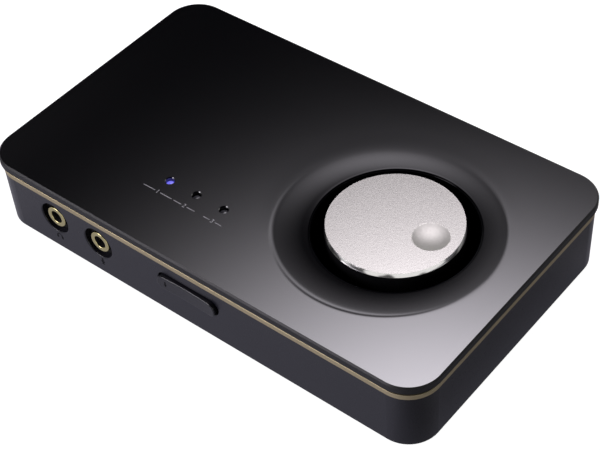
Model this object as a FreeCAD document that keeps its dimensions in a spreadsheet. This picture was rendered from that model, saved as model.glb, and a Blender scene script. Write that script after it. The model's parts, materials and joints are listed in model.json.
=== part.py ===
import FreeCAD, Part

import os
from enum import IntEnum

import Sketcher

# Desktop USB sound card: black case with a gold trim line, a dished crater with a
# push-turn knob, front and rear sockets, and the board that carries them.
# Millimetres, +Z up, front at -Y, origin on the desk under the middle of the case.

Vector = FreeCAD.Vector

DOC = FreeCAD.newDocument("usb_sound_card")
SHEET = DOC.addObject("Spreadsheet::Sheet", "Sizes")
ORIGIN = (-1, 1)


class Axis(IntEnum):
    """A sketch's own two axes, by the numbers that its constraints use."""

    LEVEL = -1
    UPRIGHT = -2


DRIVING = {
    # case
    "case_width": 138.0,
    "case_depth": 82.0,
    "corner_radius": 9.2,
    "foot_stand": 2.0,
    "body_height": 21.4,
    "plate_thickness": 2.0,
    "edge_chamfer": 0.42,
    "reveal_height": 1.2,
    "reveal_inset": 1.4,
    "lip_width": 2.0,
    "trim_height": 1.45,
    "trim_inset": 0.55,
    "tongue_drop": 1.0,
    "tongue_width": 1.2,
    "case_inset": 0.6,
    "case_draft": 0.2,
    "wall": 2.0,
    "floor_thickness": 1.8,
    "base_fillet": 0.3,
    # knob and its crater
    "knob_side": 35.5,
    "knob_y": -0.65,
    "knob_rise": 1.6,
    "knob_face_radius": 17.0,
    "knob_edge_radius": 17.55,
    "knob_edge_drop": 0.9,
    "knob_cap_thickness": 1.4,
    "knob_cap_seat_radius": 17.1,
    "skirt_radius": 17.15,
    "skirt_wall": 1.6,
    "web_thickness": 1.4,
    "hub_radius": 5.0,
    "dimple_x": 9.8,
    "dimple_y": 1.0,
    "dimple_radius": 4.6,
    "dimple_depth": 0.6,
    "crater_rim_radius": 28.85,
    "crater_floor_gap": 3.5,
    "crater_depth": 0.75,
    "crater_bend": 159.0,
    "crater_shift": 1.3,
    "well_radius": 20.5,
    "well_lip_fillet": 0.8,
    "well_depth": 6.4,
    "well_skin": 1.4,
    # encoder
    "encoder_size": 12.0,
    "encoder_height": 6.5,
    "bushing_radius": 3.6,
    "bushing_clear": 0.8,
    "bushing_bore": 3.05,
    "bushing_gap": 0.5,
    "shaft_radius": 3.0,
    "shaft_foot": 3.6,
    "shaft_engage": 3.8,
    "shaft_cover": 1.2,
    "encoder_cavity_radius": 3.3,
    "encoder_cavity_floor": 1.4,
    "plunger_radius": 2.9,
    "plunger_height": 1.6,
    # board
    "board_side_gap": 12.4,
    "board_end_gap": 2.0,
    "board_thickness": 1.6,
    "board_standoff": 1.2,
    "board_screw_side": 4.0,
    "board_screw_end": 18.4,
    "board_post_radius": 2.6,
    "board_screw_radius": 1.0,
    "board_screw_gap": 0.25,
    "board_screw_grip": 2.0,
    "board_head_radius": 2.2,
    "board_head_height": 1.3,
    "can_radius": 3.0,
    "can_height": 7.0,
    "can_pitch": 8.0,
    "can_side": 6.0,
    "can_end": 2.0,
    "usb_chip_size": 10.0,
    "usb_chip_height": 1.4,
    "usb_chip_x": -15.0,
    "usb_chip_row_gap": 10.0,
    "codec_size": 7.0,
    "codec_height": 1.2,
    "codec_row_gap": 12.0,
    "amp_length": 5.0,
    "amp_width": 4.0,
    "amp_height": 1.5,
    "amp_end": 6.0,
    "crystal_length": 11.0,
    "crystal_width": 4.6,
    "crystal_height": 3.5,
    "crystal_x": 3.0,
    # case screws
    "post_inset": 8.5,
    "post_radius": 2.8,
    "boss_radius": 3.2,
    "boss_height": 6.0,
    "counterbore_radius": 2.6,
    "counterbore_depth": 2.0,
    "clear_hole_radius": 1.4,
    "case_screw_radius": 1.05,
    "case_screw_length": 10.0,
    "case_head_radius": 2.3,
    "case_head_height": 1.6,
    "pilot_depth": 7.0,
    # sockets
    "socket_drop": 6.25,
    "rear_socket_up": 4.4,
    "jack_bore": 1.8,
    "jack_sleeve_radius": 3.1,
    "jack_seat_depth": 3.4,
    "jack_body_width": 10.0,
    "jack_body_length": 12.0,
    "jack_body_height": 10.8,
    "rear_jack_body_height": 8.8,
    "jack_back_wall": 1.0,
    "jack_recess_radius": 4.6,
    "jack_recess_fillet": 0.35,
    "front_jack_side": 23.0,
    "front_jack_pitch": 15.5,
    "front_jack_gap": 0.2,
    "front_jack_nose": 1.6,
    "rear_jack_nose": 3.8,
    "rear_jack_hole_gap": 0.2,
    "phono_radius": 4.15,
    "phono_wall": 0.65,
    "phono_bore": 1.7,
    "phono_length": 10.0,
    "phono_neck": 0.25,
    "phono_relief": 0.5,
    "phono_setback": 0.6,
    "phono_body_size": 11.0,
    "phono_body_length": 10.0,
    "phono_hole_gap": 0.25,
    "usb_width": 7.7,
    "usb_height": 3.95,
    "usb_length": 9.2,
    "usb_skin": 0.4,
    "usb_tongue_width": 4.6,
    "usb_tongue_length": 6.5,
    "usb_tongue_height": 0.9,
    "usb_hole_gap": 0.4,
    "usb_nose": 3.6,
    # rear panel
    "panel_side": 15.0,
    "panel_gap": 0.2,
    "panel_sill": 1.6,
    "panel_thickness": 1.8,
    "panel_flange": 1.2,
    "panel_flange_side": 2.0,
    # front key
    "key_drop": 5.55,
    "key_slot_length": 19.5,
    "key_slot_height": 5.1,
    "key_gap": 0.4,
    "key_corner_slack": 0.05,
    "key_end_depth": 4.85,
    "key_scoop_depth": 0.4,
    "key_edge_round": 0.3,
    "key_flange_side": 1.0,
    "key_flange_end": 0.75,
    "key_flange_thickness": 1.6,
    "key_back_gap": 1.8,
    "switch_width": 7.0,
    "switch_depth": 4.0,
    "switch_over": 3.4,
    "switch_plunger_radius": 1.75,
    "switch_hole_gap": 0.35,
    "switch_hole_depth": 2.0,
    "switch_plunger_out": 2.0,
    "switch_plunger_in": 1.2,
    # lamps
    "lamp_x": -22.3,
    "lamp_y": -20.3,
    "lamp_pitch": 8.96,
    "lamp_hole_radius": 1.15,
    "lamp_hole_chamfer": 0.2,
    "pipe_gap": 0.05,
    "pipe_setback": 0.8,
    "pipe_flange_radius": 2.0,
    "pipe_flange_height": 1.2,
    "led_size": 1.6,
    "led_height": 0.8,
    "led_gap": 0.4,
    # feet
    "foot_side": 23.0,
    "foot_end": 11.0,
    "foot_radius": 5.0,
    "foot_recess": 0.6,
    "foot_gap": 0.2,
    "foot_round": 0.5,
}

DERIVED = {
    "plate_top": "foot_stand + body_height",
    "plate_under": "plate_top - plate_thickness",
    "trim_top": "plate_under - reveal_height",
    "case_top": "trim_top - trim_height",
    "case_height": "case_top - foot_stand",
    "floor_top": "foot_stand + floor_thickness",
    "board_bottom": "floor_top + board_standoff",
    "board_top": "board_bottom + board_thickness",
    "socket_z": "case_top - socket_drop",
    "rear_socket_z": "board_top + rear_socket_up",
    "half_width": "case_width / 2",
    "half_depth": "case_depth / 2",
    "knob_x": "half_width - knob_side",
    "post_x": "half_width - post_inset",
    "post_y": "half_depth - post_inset",
    "foot_x": "half_width - foot_side",
    "foot_y": "half_depth - foot_end",
    "inner_inset": "case_inset + wall",
    "lip_inset": "reveal_inset + lip_width",
    "tongue_inset": "inner_inset + 0.2",
    "tongue_inner": "tongue_inset + tongue_width",
    "inner_depth": "half_depth - inner_inset",
    "board_length": "case_width - 2 * inner_inset - 2 * board_side_gap",
    "board_depth": "2 * inner_depth - 2 * board_end_gap",
    "board_screw_x": "board_length / 2 - board_screw_side",
    "board_screw_y": "board_depth / 2 - board_screw_end",
    "can_start": "can_side - board_screw_x",
    "can_row": "board_screw_y + can_end",
    "panel_width": "case_width - 2 * panel_side",
    "row_start": "panel_width * 22.5 / 54",
    "phono_pitch": "panel_width * 7 / 54",
    "rear_jack_pitch": "panel_width * 6.25 / 54",
    "headphone_x": "front_jack_side - half_width",
    "mic_x": "headphone_x + front_jack_pitch",
    "left_x": "0 - row_start",
    "right_x": "left_x + phono_pitch",
    "digital_x": "right_x + phono_pitch",
    "line_in_x": "digital_x + phono_pitch",
    "front_out_x": "line_in_x + rear_jack_pitch",
    "centre_out_x": "front_out_x + rear_jack_pitch",
    "rear_out_x": "centre_out_x + rear_jack_pitch",
    "usb_x": "rear_out_x + rear_jack_pitch",
    "well_floor": "plate_top - well_depth",
    "crater_x": "knob_x - crater_shift",
    "crater_y": "knob_y - crater_shift",
    "crater_floor": "plate_top - crater_depth",
    "crater_floor_radius": "well_radius - crater_floor_gap",
    "crater_cut_top": "plate_top + 1",
    "well_boss_top": "plate_under + plate_thickness / 4",
    "well_boss_radius": "well_radius + well_skin",
    "well_under": "well_floor - well_skin",
    "bushing_hole": "bushing_radius + bushing_gap",
    "knob_top": "plate_top + knob_rise",
    "cap_seat": "knob_top - knob_cap_thickness",
    "edge_up": "knob_cap_thickness - knob_edge_drop",
    "encoder_top": "board_top + encoder_height",
    "shaft_bottom": "board_top + shaft_foot",
    "plunger_bottom": "shaft_bottom - plunger_height",
    "shaft_top": "cap_seat - shaft_cover",
    "hub_bottom": "shaft_top - shaft_engage",
    "bushing_top": "hub_bottom - bushing_clear",
    "bushing_height": "bushing_top - encoder_top",
    "skirt_bottom": "well_floor + 1",
    "web_bottom": "cap_seat - web_thickness",
    "web_drop": "web_bottom - skirt_bottom",
    "hub_drop": "hub_bottom - skirt_bottom",
    "shaft_hole_top": "shaft_top - skirt_bottom",
    "knob_body_height": "cap_seat - skirt_bottom",
    "skirt_inner": "skirt_radius - skirt_wall",
    "shaft_length": "shaft_top - shaft_bottom",
    "boss_top": "foot_stand + boss_height",
    "panel_inner": "inner_depth - panel_flange",
    "key_slot_radius": "key_slot_height / 2",
    "key_slot_pitch": "key_slot_length - key_slot_height",
    "key_length": "key_slot_length - 2 * key_gap",
    "key_height": "key_slot_height - 2 * key_gap",
    "key_corner": "key_height / 2 - key_corner_slack",
    "key_z": "case_top - key_drop",
    "key_back": "inner_depth - key_back_gap",
    "key_scoop_radius": "key_length * key_length / (8 * key_scoop_depth) + key_scoop_depth / 2",
    "key_flange_length": "key_slot_length + 2 * key_flange_side",
    "key_flange_height": "key_slot_height + 2 * key_flange_end",
    "switch_height": "key_z - board_top + switch_over",
    "switch_front": "key_back - switch_plunger_out",
    "pipe_radius": "lamp_hole_radius - pipe_gap",
    "pipe_bottom": "board_top + led_height + led_gap",
    "pipe_flange_bottom": "plate_under - pipe_flange_height",
    "pipe_flange_up": "pipe_flange_bottom - pipe_bottom",
    "pipe_flange_top": "plate_under - pipe_bottom",
    "pipe_length": "plate_top - pipe_setback - pipe_bottom",
    "foot_thickness": "foot_stand + foot_recess",
    "front_jack_front": "inner_depth - front_jack_gap",
    "jack_bore_depth": "jack_body_length - jack_back_wall",
}


def fill_sheet():
    """Write every driving and derived size into the sheet under its own alias."""
    row = 1
    for alias, number in DRIVING.items():
        SHEET.set("A%d" % row, alias)
        SHEET.set("B%d" % row, "=%s mm" % number)
        SHEET.setAlias("B%d" % row, alias)
        row += 1
    for alias, formula in DERIVED.items():
        words = formula.replace("(", "( ").replace(")", " )").split()
        for index, word in enumerate(words):
            scales = words[index + 1:index + 2] in (["*"], ["/"]) or words[index - 1] in ("*", "/")
            if word.replace(".", "", 1).isdigit() and not scales:
                words[index] = word + " mm"
        SHEET.set("A%d" % row, alias)
        SHEET.set("B%d" % row, "=" + " ".join(words))
        SHEET.setAlias("B%d" % row, alias)
        row += 1
    DOC.recompute()


def size(text):
    """Number of millimetres for a sum of aliases and plain lengths, such as 'wall + 0.5'."""
    total = 0.0
    sign = 1.0
    for word in text.split():
        if word == "+":
            sign = 1.0
        elif word == "-":
            sign = -1.0
        elif word[0].isdigit():
            total += sign * float(word)
        else:
            total += sign * SHEET.get(word).Value
    return total


def expr(text):
    """Expression on the sheet for the same kind of sum."""
    words = []
    for word in text.split():
        if word in ("+", "-"):
            words.append(word)
        elif word[0].isdigit():
            words.append(word + " mm")
        else:
            words.append("Sizes." + word)
    return " ".join(words)


def negated(text):
    """The same kind of sum with every sign turned."""
    flip = {"+": "-", "-": "+"}
    return "0 - " + " ".join(flip.get(word, word) for word in text.split())


def bind(obj, **sizes):
    """Bind length properties of an object to the sheet."""
    for prop, text in sizes.items():
        obj.setExpression(prop, expr(text))
    return obj


def place(obj, x="0", y="0", z="0"):
    """Bind an object's position to the sheet, leaving its rotation."""
    for axis, text in (("x", x), ("y", y), ("z", z)):
        obj.setExpression("Placement.Base." + axis, expr(text))
    return obj


def new_body(name):
    """Empty PartDesign body with its node name as label."""
    body = DOC.addObject("PartDesign::Body", name)
    body.Label = name
    return body


def new_sketch(body, role="XY_Plane", x="0", y="0", z="0"):
    """Sketch on one of the body's own origin planes, its origin at a point of the body."""
    plane = [item for item in body.Origin.OriginFeatures if item.Role == role][0]
    sketch = body.newObject("Sketcher::SketchObject", body.Name + "_sketch")
    sketch.AttachmentSupport = [(plane, "")]
    sketch.MapMode = "FlatFace"
    along = {"x": x, "y": y, "z": z}
    if role == "XZ_Plane":
        along = {"x": x, "y": z, "z": negated(y)}
    for axis, text in along.items():
        sketch.setExpression("AttachmentOffset.Base." + axis, expr(text))
    return sketch


def dimension(sketch, text, *args):
    """Add a dimension bound to the sheet."""
    index = sketch.addConstraint(Sketcher.Constraint(*args, size(text)))
    sketch.setExpression("Constraints[%d]" % index, expr(text))


def locate(sketch, item, point, x, y):
    """Fix a point of a sketch at positive distances from the sketch's origin."""
    if x == "0":
        sketch.addConstraint(Sketcher.Constraint("PointOnObject", item, point, Axis.UPRIGHT))
    else:
        dimension(sketch, x, "DistanceX", *ORIGIN, item, point)
    if y == "0":
        sketch.addConstraint(Sketcher.Constraint("PointOnObject", item, point, Axis.LEVEL))
    else:
        dimension(sketch, y, "DistanceY", *ORIGIN, item, point)


def draw_circle(sketch, radius):
    """Circle about the sketch's origin."""
    item = sketch.addGeometry(Part.Circle(Vector(), Vector(0, 0, 1), size(radius)))
    sketch.addConstraint(Sketcher.Constraint("Coincident", item, 3, *ORIGIN))
    dimension(sketch, radius, "Radius", item)


def draw_four_circles(sketch, x, y, radius):
    """Four equal circles, one in each quarter, mirrored about both axes."""
    items = []
    for sx, sy in ((1, 1), (-1, 1), (1, -1), (-1, -1)):
        centre = Vector(sx * size(x), sy * size(y), 0)
        items.append(sketch.addGeometry(Part.Circle(centre, Vector(0, 0, 1), size(radius))))
    locate(sketch, items[0], 3, x, y)
    dimension(sketch, radius, "Radius", items[0])
    for item in items[1:]:
        sketch.addConstraint(Sketcher.Constraint("Equal", items[0], item))
    sketch.addConstraint(Sketcher.Constraint("Symmetric", items[0], 3, items[1], 3, Axis.UPRIGHT))
    sketch.addConstraint(Sketcher.Constraint("Symmetric", items[0], 3, items[2], 3, Axis.LEVEL))
    sketch.addConstraint(Sketcher.Constraint("Symmetric", items[0], 3, items[3], 3, *ORIGIN))


def draw_rounded_rect(sketch, width, depth, radius):
    """Rectangle with rounded corners about the sketch's origin."""
    half_w = size(width) / 2
    half_d = size(depth) / 2
    corner = size(radius)
    in_w = half_w - corner
    in_d = half_d - corner
    ends = [
        (Vector(-in_w, -half_d, 0), Vector(in_w, -half_d, 0)),
        (Vector(half_w, -in_d, 0), Vector(half_w, in_d, 0)),
        (Vector(in_w, half_d, 0), Vector(-in_w, half_d, 0)),
        (Vector(-half_w, in_d, 0), Vector(-half_w, -in_d, 0)),
    ]
    lines = [sketch.addGeometry(Part.LineSegment(start, end)) for start, end in ends]
    centres = [Vector(in_w, -in_d, 0), Vector(in_w, in_d, 0), Vector(-in_w, in_d, 0), Vector(-in_w, -in_d, 0)]
    quarter = 1.5707963267948966
    arcs = []
    for turn, centre in enumerate(centres):
        circle = Part.Circle(centre, Vector(0, 0, 1), corner)
        arcs.append(sketch.addGeometry(Part.ArcOfCircle(circle, (turn - 1) * quarter, turn * quarter)))
    for turn in range(4):
        after = lines[(turn + 1) % 4]
        sketch.addConstraint(Sketcher.Constraint("Tangent", lines[turn], 2, arcs[turn], 1))
        sketch.addConstraint(Sketcher.Constraint("Tangent", arcs[turn], 2, after, 1))
    sketch.addConstraint(Sketcher.Constraint("Horizontal", lines[0]))
    sketch.addConstraint(Sketcher.Constraint("Vertical", lines[1]))
    sketch.addConstraint(Sketcher.Constraint("Horizontal", lines[2]))
    sketch.addConstraint(Sketcher.Constraint("Vertical", lines[3]))
    for arc in arcs[1:]:
        sketch.addConstraint(Sketcher.Constraint("Equal", arcs[0], arc))
    sketch.addConstraint(Sketcher.Constraint("Symmetric", arcs[0], 3, arcs[2], 3, *ORIGIN))
    dimension(sketch, radius, "Radius", arcs[0])
    dimension(sketch, width, "DistanceX", lines[3], 1, lines[1], 1)
    dimension(sketch, depth, "DistanceY", lines[0], 1, lines[2], 1)


def draw_inset_outline(sketch, inset):
    """The case's plan outline, moved inwards."""
    width = "case_width - %s - %s" % (inset, inset)
    depth = "case_depth - %s - %s" % (inset, inset)
    draw_rounded_rect(sketch, width, depth, "corner_radius - %s" % inset)


def draw_slot(sketch, pitch, radius):
    """Oval slot about the sketch's origin: straight sides, half-round ends."""
    half = size(pitch) / 2
    end = size(radius)
    quarter = 1.5707963267948966
    low = sketch.addGeometry(Part.LineSegment(Vector(-half, -end, 0), Vector(half, -end, 0)))
    right_circle = Part.Circle(Vector(half, 0, 0), Vector(0, 0, 1), end)
    right = sketch.addGeometry(Part.ArcOfCircle(right_circle, -quarter, quarter))
    high = sketch.addGeometry(Part.LineSegment(Vector(half, end, 0), Vector(-half, end, 0)))
    left_circle = Part.Circle(Vector(-half, 0, 0), Vector(0, 0, 1), end)
    left = sketch.addGeometry(Part.ArcOfCircle(left_circle, quarter, 3 * quarter))
    for first, second in ((low, right), (right, high), (high, left), (left, low)):
        sketch.addConstraint(Sketcher.Constraint("Tangent", first, 2, second, 1))
    sketch.addConstraint(Sketcher.Constraint("Horizontal", low))
    sketch.addConstraint(Sketcher.Constraint("Equal", right, left))
    sketch.addConstraint(Sketcher.Constraint("Symmetric", right, 3, left, 3, *ORIGIN))
    dimension(sketch, radius, "Radius", right)
    dimension(sketch, pitch, "DistanceX", left, 3, right, 3)


def draw_rectangle(sketch, width, depth):
    """Plain rectangle about the sketch's origin."""
    half_w = size(width) / 2
    half_d = size(depth) / 2
    corners = [(-half_w, -half_d), (half_w, -half_d), (half_w, half_d), (-half_w, half_d)]
    points = [Vector(x, y, 0) for x, y in corners]
    lines = []
    for turn in range(4):
        lines.append(sketch.addGeometry(Part.LineSegment(points[turn], points[(turn + 1) % 4])))
    for turn in range(4):
        after = lines[(turn + 1) % 4]
        sketch.addConstraint(Sketcher.Constraint("Coincident", lines[turn], 2, after, 1))
    for turn, kind in enumerate(("Horizontal", "Vertical", "Horizontal", "Vertical")):
        sketch.addConstraint(Sketcher.Constraint(kind, lines[turn]))
    sketch.addConstraint(Sketcher.Constraint("Symmetric", lines[0], 1, lines[2], 1, *ORIGIN))
    dimension(sketch, width, "DistanceX", lines[0], 1, lines[0], 2)
    dimension(sketch, depth, "DistanceY", lines[1], 1, lines[1], 2)


def bowed_line(start, end, bend):
    """Arc of a radius between two points, bowed out to the right of the way from start to end."""
    chord = end - start
    sag = bend - (bend * bend - chord.Length * chord.Length / 4) ** 0.5
    side = Vector(chord.y, 0 - chord.x, 0).normalize()
    return Part.Arc(start, (start + end) * 0.5 + side * sag, end)


def draw_profile(sketch, points, bowed=None, bend=None):
    """Closed run of lines through points at positive distances from the origin.

    bowed is the number of the one line that is an arc, and bend that arc's radius.
    """
    spots = [Vector(0 if x == "0" else size(x), 0 if y == "0" else size(y), 0) for x, y in points]
    count = len(spots)
    lines = []
    for turn in range(count):
        ends = (spots[turn], spots[(turn + 1) % count])
        shape = bowed_line(*ends, size(bend)) if turn == bowed else Part.LineSegment(*ends)
        lines.append(sketch.addGeometry(shape))
    for turn in range(count):
        after = lines[(turn + 1) % count]
        sketch.addConstraint(Sketcher.Constraint("Coincident", lines[turn], 2, after, 1))
    for line, (x, y) in zip(lines, points):
        locate(sketch, line, 1, x, y)
    if bend:
        dimension(sketch, bend, "Radius", lines[bowed])


def pad(body, sketch, length, reverse=False):
    """Extrude a sketch along its plane's normal, or against it."""
    feature = body.newObject("PartDesign::Pad", body.Name + "_pad")
    feature.Profile = (sketch, [""])
    feature.Reversed = reverse
    bind(feature, Length=length)
    DOC.recompute()
    return feature


def pocket(body, sketch, length, reverse=False):
    """Cut a sketch into the body; the cut must remove something."""
    before = body.Shape.Volume
    feature = body.newObject("PartDesign::Pocket", body.Name + "_pocket")
    feature.Profile = (sketch, [""])
    feature.Reversed = reverse
    bind(feature, Length=length)
    DOC.recompute()
    if body.Shape.Volume >= before - 1e-6:
        raise RuntimeError("pocket in %s cuts nothing" % body.Label)
    return feature


def turn_about(body, kind, sketch):
    """Revolve a sketch a full turn about its own upright axis."""
    feature = body.newObject("PartDesign::" + kind, body.Name + "_turn")
    feature.Profile = (sketch, [""])
    feature.ReferenceAxis = (sketch, ["V_Axis"])
    feature.Angle = 360.0
    DOC.recompute()
    return feature


def edges_where(body, test):
    """Names of a body's edges that pass a test."""
    return ["Edge%d" % (i + 1) for i, edge in enumerate(body.Shape.Edges) if test(edge)]


def faces_where(feature, test):
    """Names of a feature's faces that pass a test."""
    return ["Face%d" % (i + 1) for i, face in enumerate(feature.Shape.Faces) if test(face)]


def round_edges(body, radius, test):
    """Fillet the edges that pass a test."""
    names = edges_where(body, test)
    feature = body.newObject("PartDesign::Fillet", body.Name + "_fillet")
    feature.Base = (body.Tip if body.Tip != feature else feature.BaseFeature, names)
    bind(feature, Radius=radius)
    DOC.recompute()
    return feature


def cut_edges(body, length, test):
    """Chamfer the edges that pass a test."""
    names = edges_where(body, test)
    feature = body.newObject("PartDesign::Chamfer", body.Name + "_chamfer")
    feature.Base = (body.Tip if body.Tip != feature else feature.BaseFeature, names)
    bind(feature, Size=length)
    DOC.recompute()
    return feature


def near(value, target):
    """True where two lengths agree to a hundredth of a millimetre."""
    return abs(value - target) < 0.01


def level_ring(edge, z, radius):
    """True for a full circle at a height, with a radius."""
    is_circle = edge.Curve.TypeId == "Part::GeomCircle"
    return is_circle and near(edge.BoundBox.ZMin, z) and near(edge.BoundBox.ZMax, z) and near(edge.Curve.Radius, radius)


def wraps(edge, axis, radius, low):
    """True for an edge above a height that keeps one distance from an upright axis."""
    if edge.BoundBox.ZMin < low:
        return False
    return all(near(Vector(p.x, p.y, 0).distanceToPoint(axis), radius) for p in edge.discretize(7))


def turned(name, points, x="0", y="0", z="0", lay=None):
    """Body turned from a profile of radius and height, placed by its foot.

    lay is None for an upright axis, or the turn that lays the axis down.
    """
    body = new_body(name)
    sketch = new_sketch(body, "XZ_Plane")
    draw_profile(sketch, points)
    turn_about(body, "Revolution", sketch)
    if lay is not None:
        body.Placement.Rotation = lay
    return place(body, x, y, z)


def box(name, length, width, height, x, y, z):
    """Box centred on x and y, standing at z."""
    item = DOC.addObject("Part::Box", name)
    item.Label = name
    bind(item, Length=length, Width=width, Height=height)
    item.setExpression("Placement.Base.x", "%s - (%s) / 2" % (expr(x), expr(length)))
    item.setExpression("Placement.Base.y", "%s - (%s) / 2" % (expr(y), expr(width)))
    item.setExpression("Placement.Base.z", expr(z))
    return item


def rod(name, radius, height, x, y, z, lay=None):
    """Cylinder from its foot point, upright or laid along Y."""
    item = DOC.addObject("Part::Cylinder", name)
    item.Label = name
    bind(item, Radius=radius, Height=height)
    if lay is not None:
        item.Placement.Rotation = lay
    return place(item, x, y, z)


def cut(name, base, tools):
    """Boolean cut of one or more tools from a base."""
    tool = tools[0]
    if len(tools) > 1:
        tool = DOC.addObject("Part::MultiFuse", name + "_tools")
        tool.Shapes = tools
    item = DOC.addObject("Part::Cut", name)
    item.Label = name
    item.Base = base
    item.Tool = tool
    return item


def four_of(name, source):
    """Group of a piece and its mirror images about the case's two middle planes."""
    pieces = [source]
    for index, normal in enumerate((Vector(1, 0, 0), Vector(0, 1, 0))):
        for piece in list(pieces):
            image = DOC.addObject("Part::Mirroring", "%s_image_%d" % (name, len(pieces)))
            image.Source = piece
            image.Normal = normal
            pieces.append(image)
    group = DOC.addObject("Part::Compound", name)
    group.Label = name
    group.Links = pieces
    return group


FRONT_JACKS = ("mic", "headphone")
REAR_JACKS = ("line_in", "front_out", "centre_out", "rear_out")
PHONO = ("left", "right", "digital")
ALONG_Y = FreeCAD.Rotation(Vector(1, 0, 0), -90)
TOWARDS_FRONT = FreeCAD.Rotation(Vector(1, 0, 0), 90)


def make_lower_case():
    """Drafted shell with front recesses, a rear opening, bosses and posts."""
    body = new_body("lower_case")
    outline = new_sketch(body, z="case_top")
    draw_inset_outline(outline, "case_inset")
    pad(body, outline, "case_height", reverse=True)
    draft = body.newObject("PartDesign::Draft", "lower_case_draft")
    block = draft.BaseFeature
    sides = faces_where(block, lambda f: f.BoundBox.ZLength > 1.0)
    draft.Base = (block, sides)
    draft.NeutralPlane = (block, faces_where(block, lambda f: near(f.BoundBox.ZMin, size("case_top"))))
    draft.Reversed = True
    draft.setExpression("Angle", "atan(Sizes.case_draft / Sizes.case_height)")
    DOC.recompute()
    bottom = size("foot_stand")
    round_edges(body, "base_fillet", lambda e: near(e.BoundBox.ZMax, bottom))
    inside = new_sketch(body, z="case_top")
    draw_inset_outline(inside, "inner_inset")
    pocket(body, inside, "case_height - floor_thickness")
    for post_x, post_y, radius, top in (
        ("post_x", "post_y", "boss_radius", "boss_top"),
        ("board_screw_x", "board_screw_y", "board_post_radius", "board_bottom"),
    ):
        posts = new_sketch(body, z="floor_top - 0.5")
        draw_four_circles(posts, post_x, post_y, radius)
        pad(body, posts, top + " - floor_top + 0.5")
    seats = new_sketch(body, z="foot_stand")
    draw_four_circles(seats, "post_x", "post_y", "counterbore_radius")
    pocket(body, seats, "counterbore_depth", reverse=True)
    holes = new_sketch(body, z="foot_stand")
    draw_four_circles(holes, "post_x", "post_y", "clear_hole_radius")
    pocket(body, holes, "boss_height + 0.5", reverse=True)
    pilots = new_sketch(body, z="board_bottom")
    draw_four_circles(pilots, "board_screw_x", "board_screw_y", "board_screw_radius")
    pocket(body, pilots, "board_screw_grip")
    feet = new_sketch(body, z="foot_stand")
    draw_four_circles(feet, "foot_x", "foot_y", "foot_radius + foot_gap")
    pocket(body, feet, "foot_recess", reverse=True)
    front = "0 - half_depth"
    for name in FRONT_JACKS:
        hole = new_sketch(body, "XZ_Plane", name + "_x", front, "socket_z")
        draw_circle(hole, "jack_recess_radius")
        pocket(body, hole, "inner_inset + 0.5")
    slot = new_sketch(body, "XZ_Plane", "0", front, "key_z")
    draw_slot(slot, "key_slot_pitch", "key_slot_radius")
    pocket(body, slot, "inner_inset + 0.5")
    outer = 0.0 - size("half_depth") + size("case_inset") + size("case_draft") + 0.05

    def is_mouth(edge):
        box_of = edge.BoundBox
        upright = box_of.ZMin > bottom + 1.0 and box_of.ZMax < size("case_top") - 1.0
        return upright and box_of.YMax < outer and box_of.XLength > 1.0

    round_edges(body, "jack_recess_fillet", is_mouth)
    opening = new_sketch(body, "XZ_Plane", "0", "half_depth", "foot_stand + panel_sill + case_height")
    draw_rectangle(opening, "panel_width", "case_height + case_height")
    pocket(body, opening, "inner_inset + 0.5", reverse=True)
    return body


def make_trim_ring():
    """Gold ring on the lower case's rim, with a tongue inside the wall."""
    body = new_body("trim_ring")
    outline = new_sketch(body, z="case_top")
    draw_inset_outline(outline, "trim_inset")
    draw_inset_outline(outline, "lip_inset")
    pad(body, outline, "trim_height")
    tongue = new_sketch(body, z="case_top - tongue_drop")
    draw_inset_outline(tongue, "tongue_inset")
    draw_inset_outline(tongue, "tongue_inner")
    pad(body, tongue, "tongue_drop + trim_height")
    return body


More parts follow.
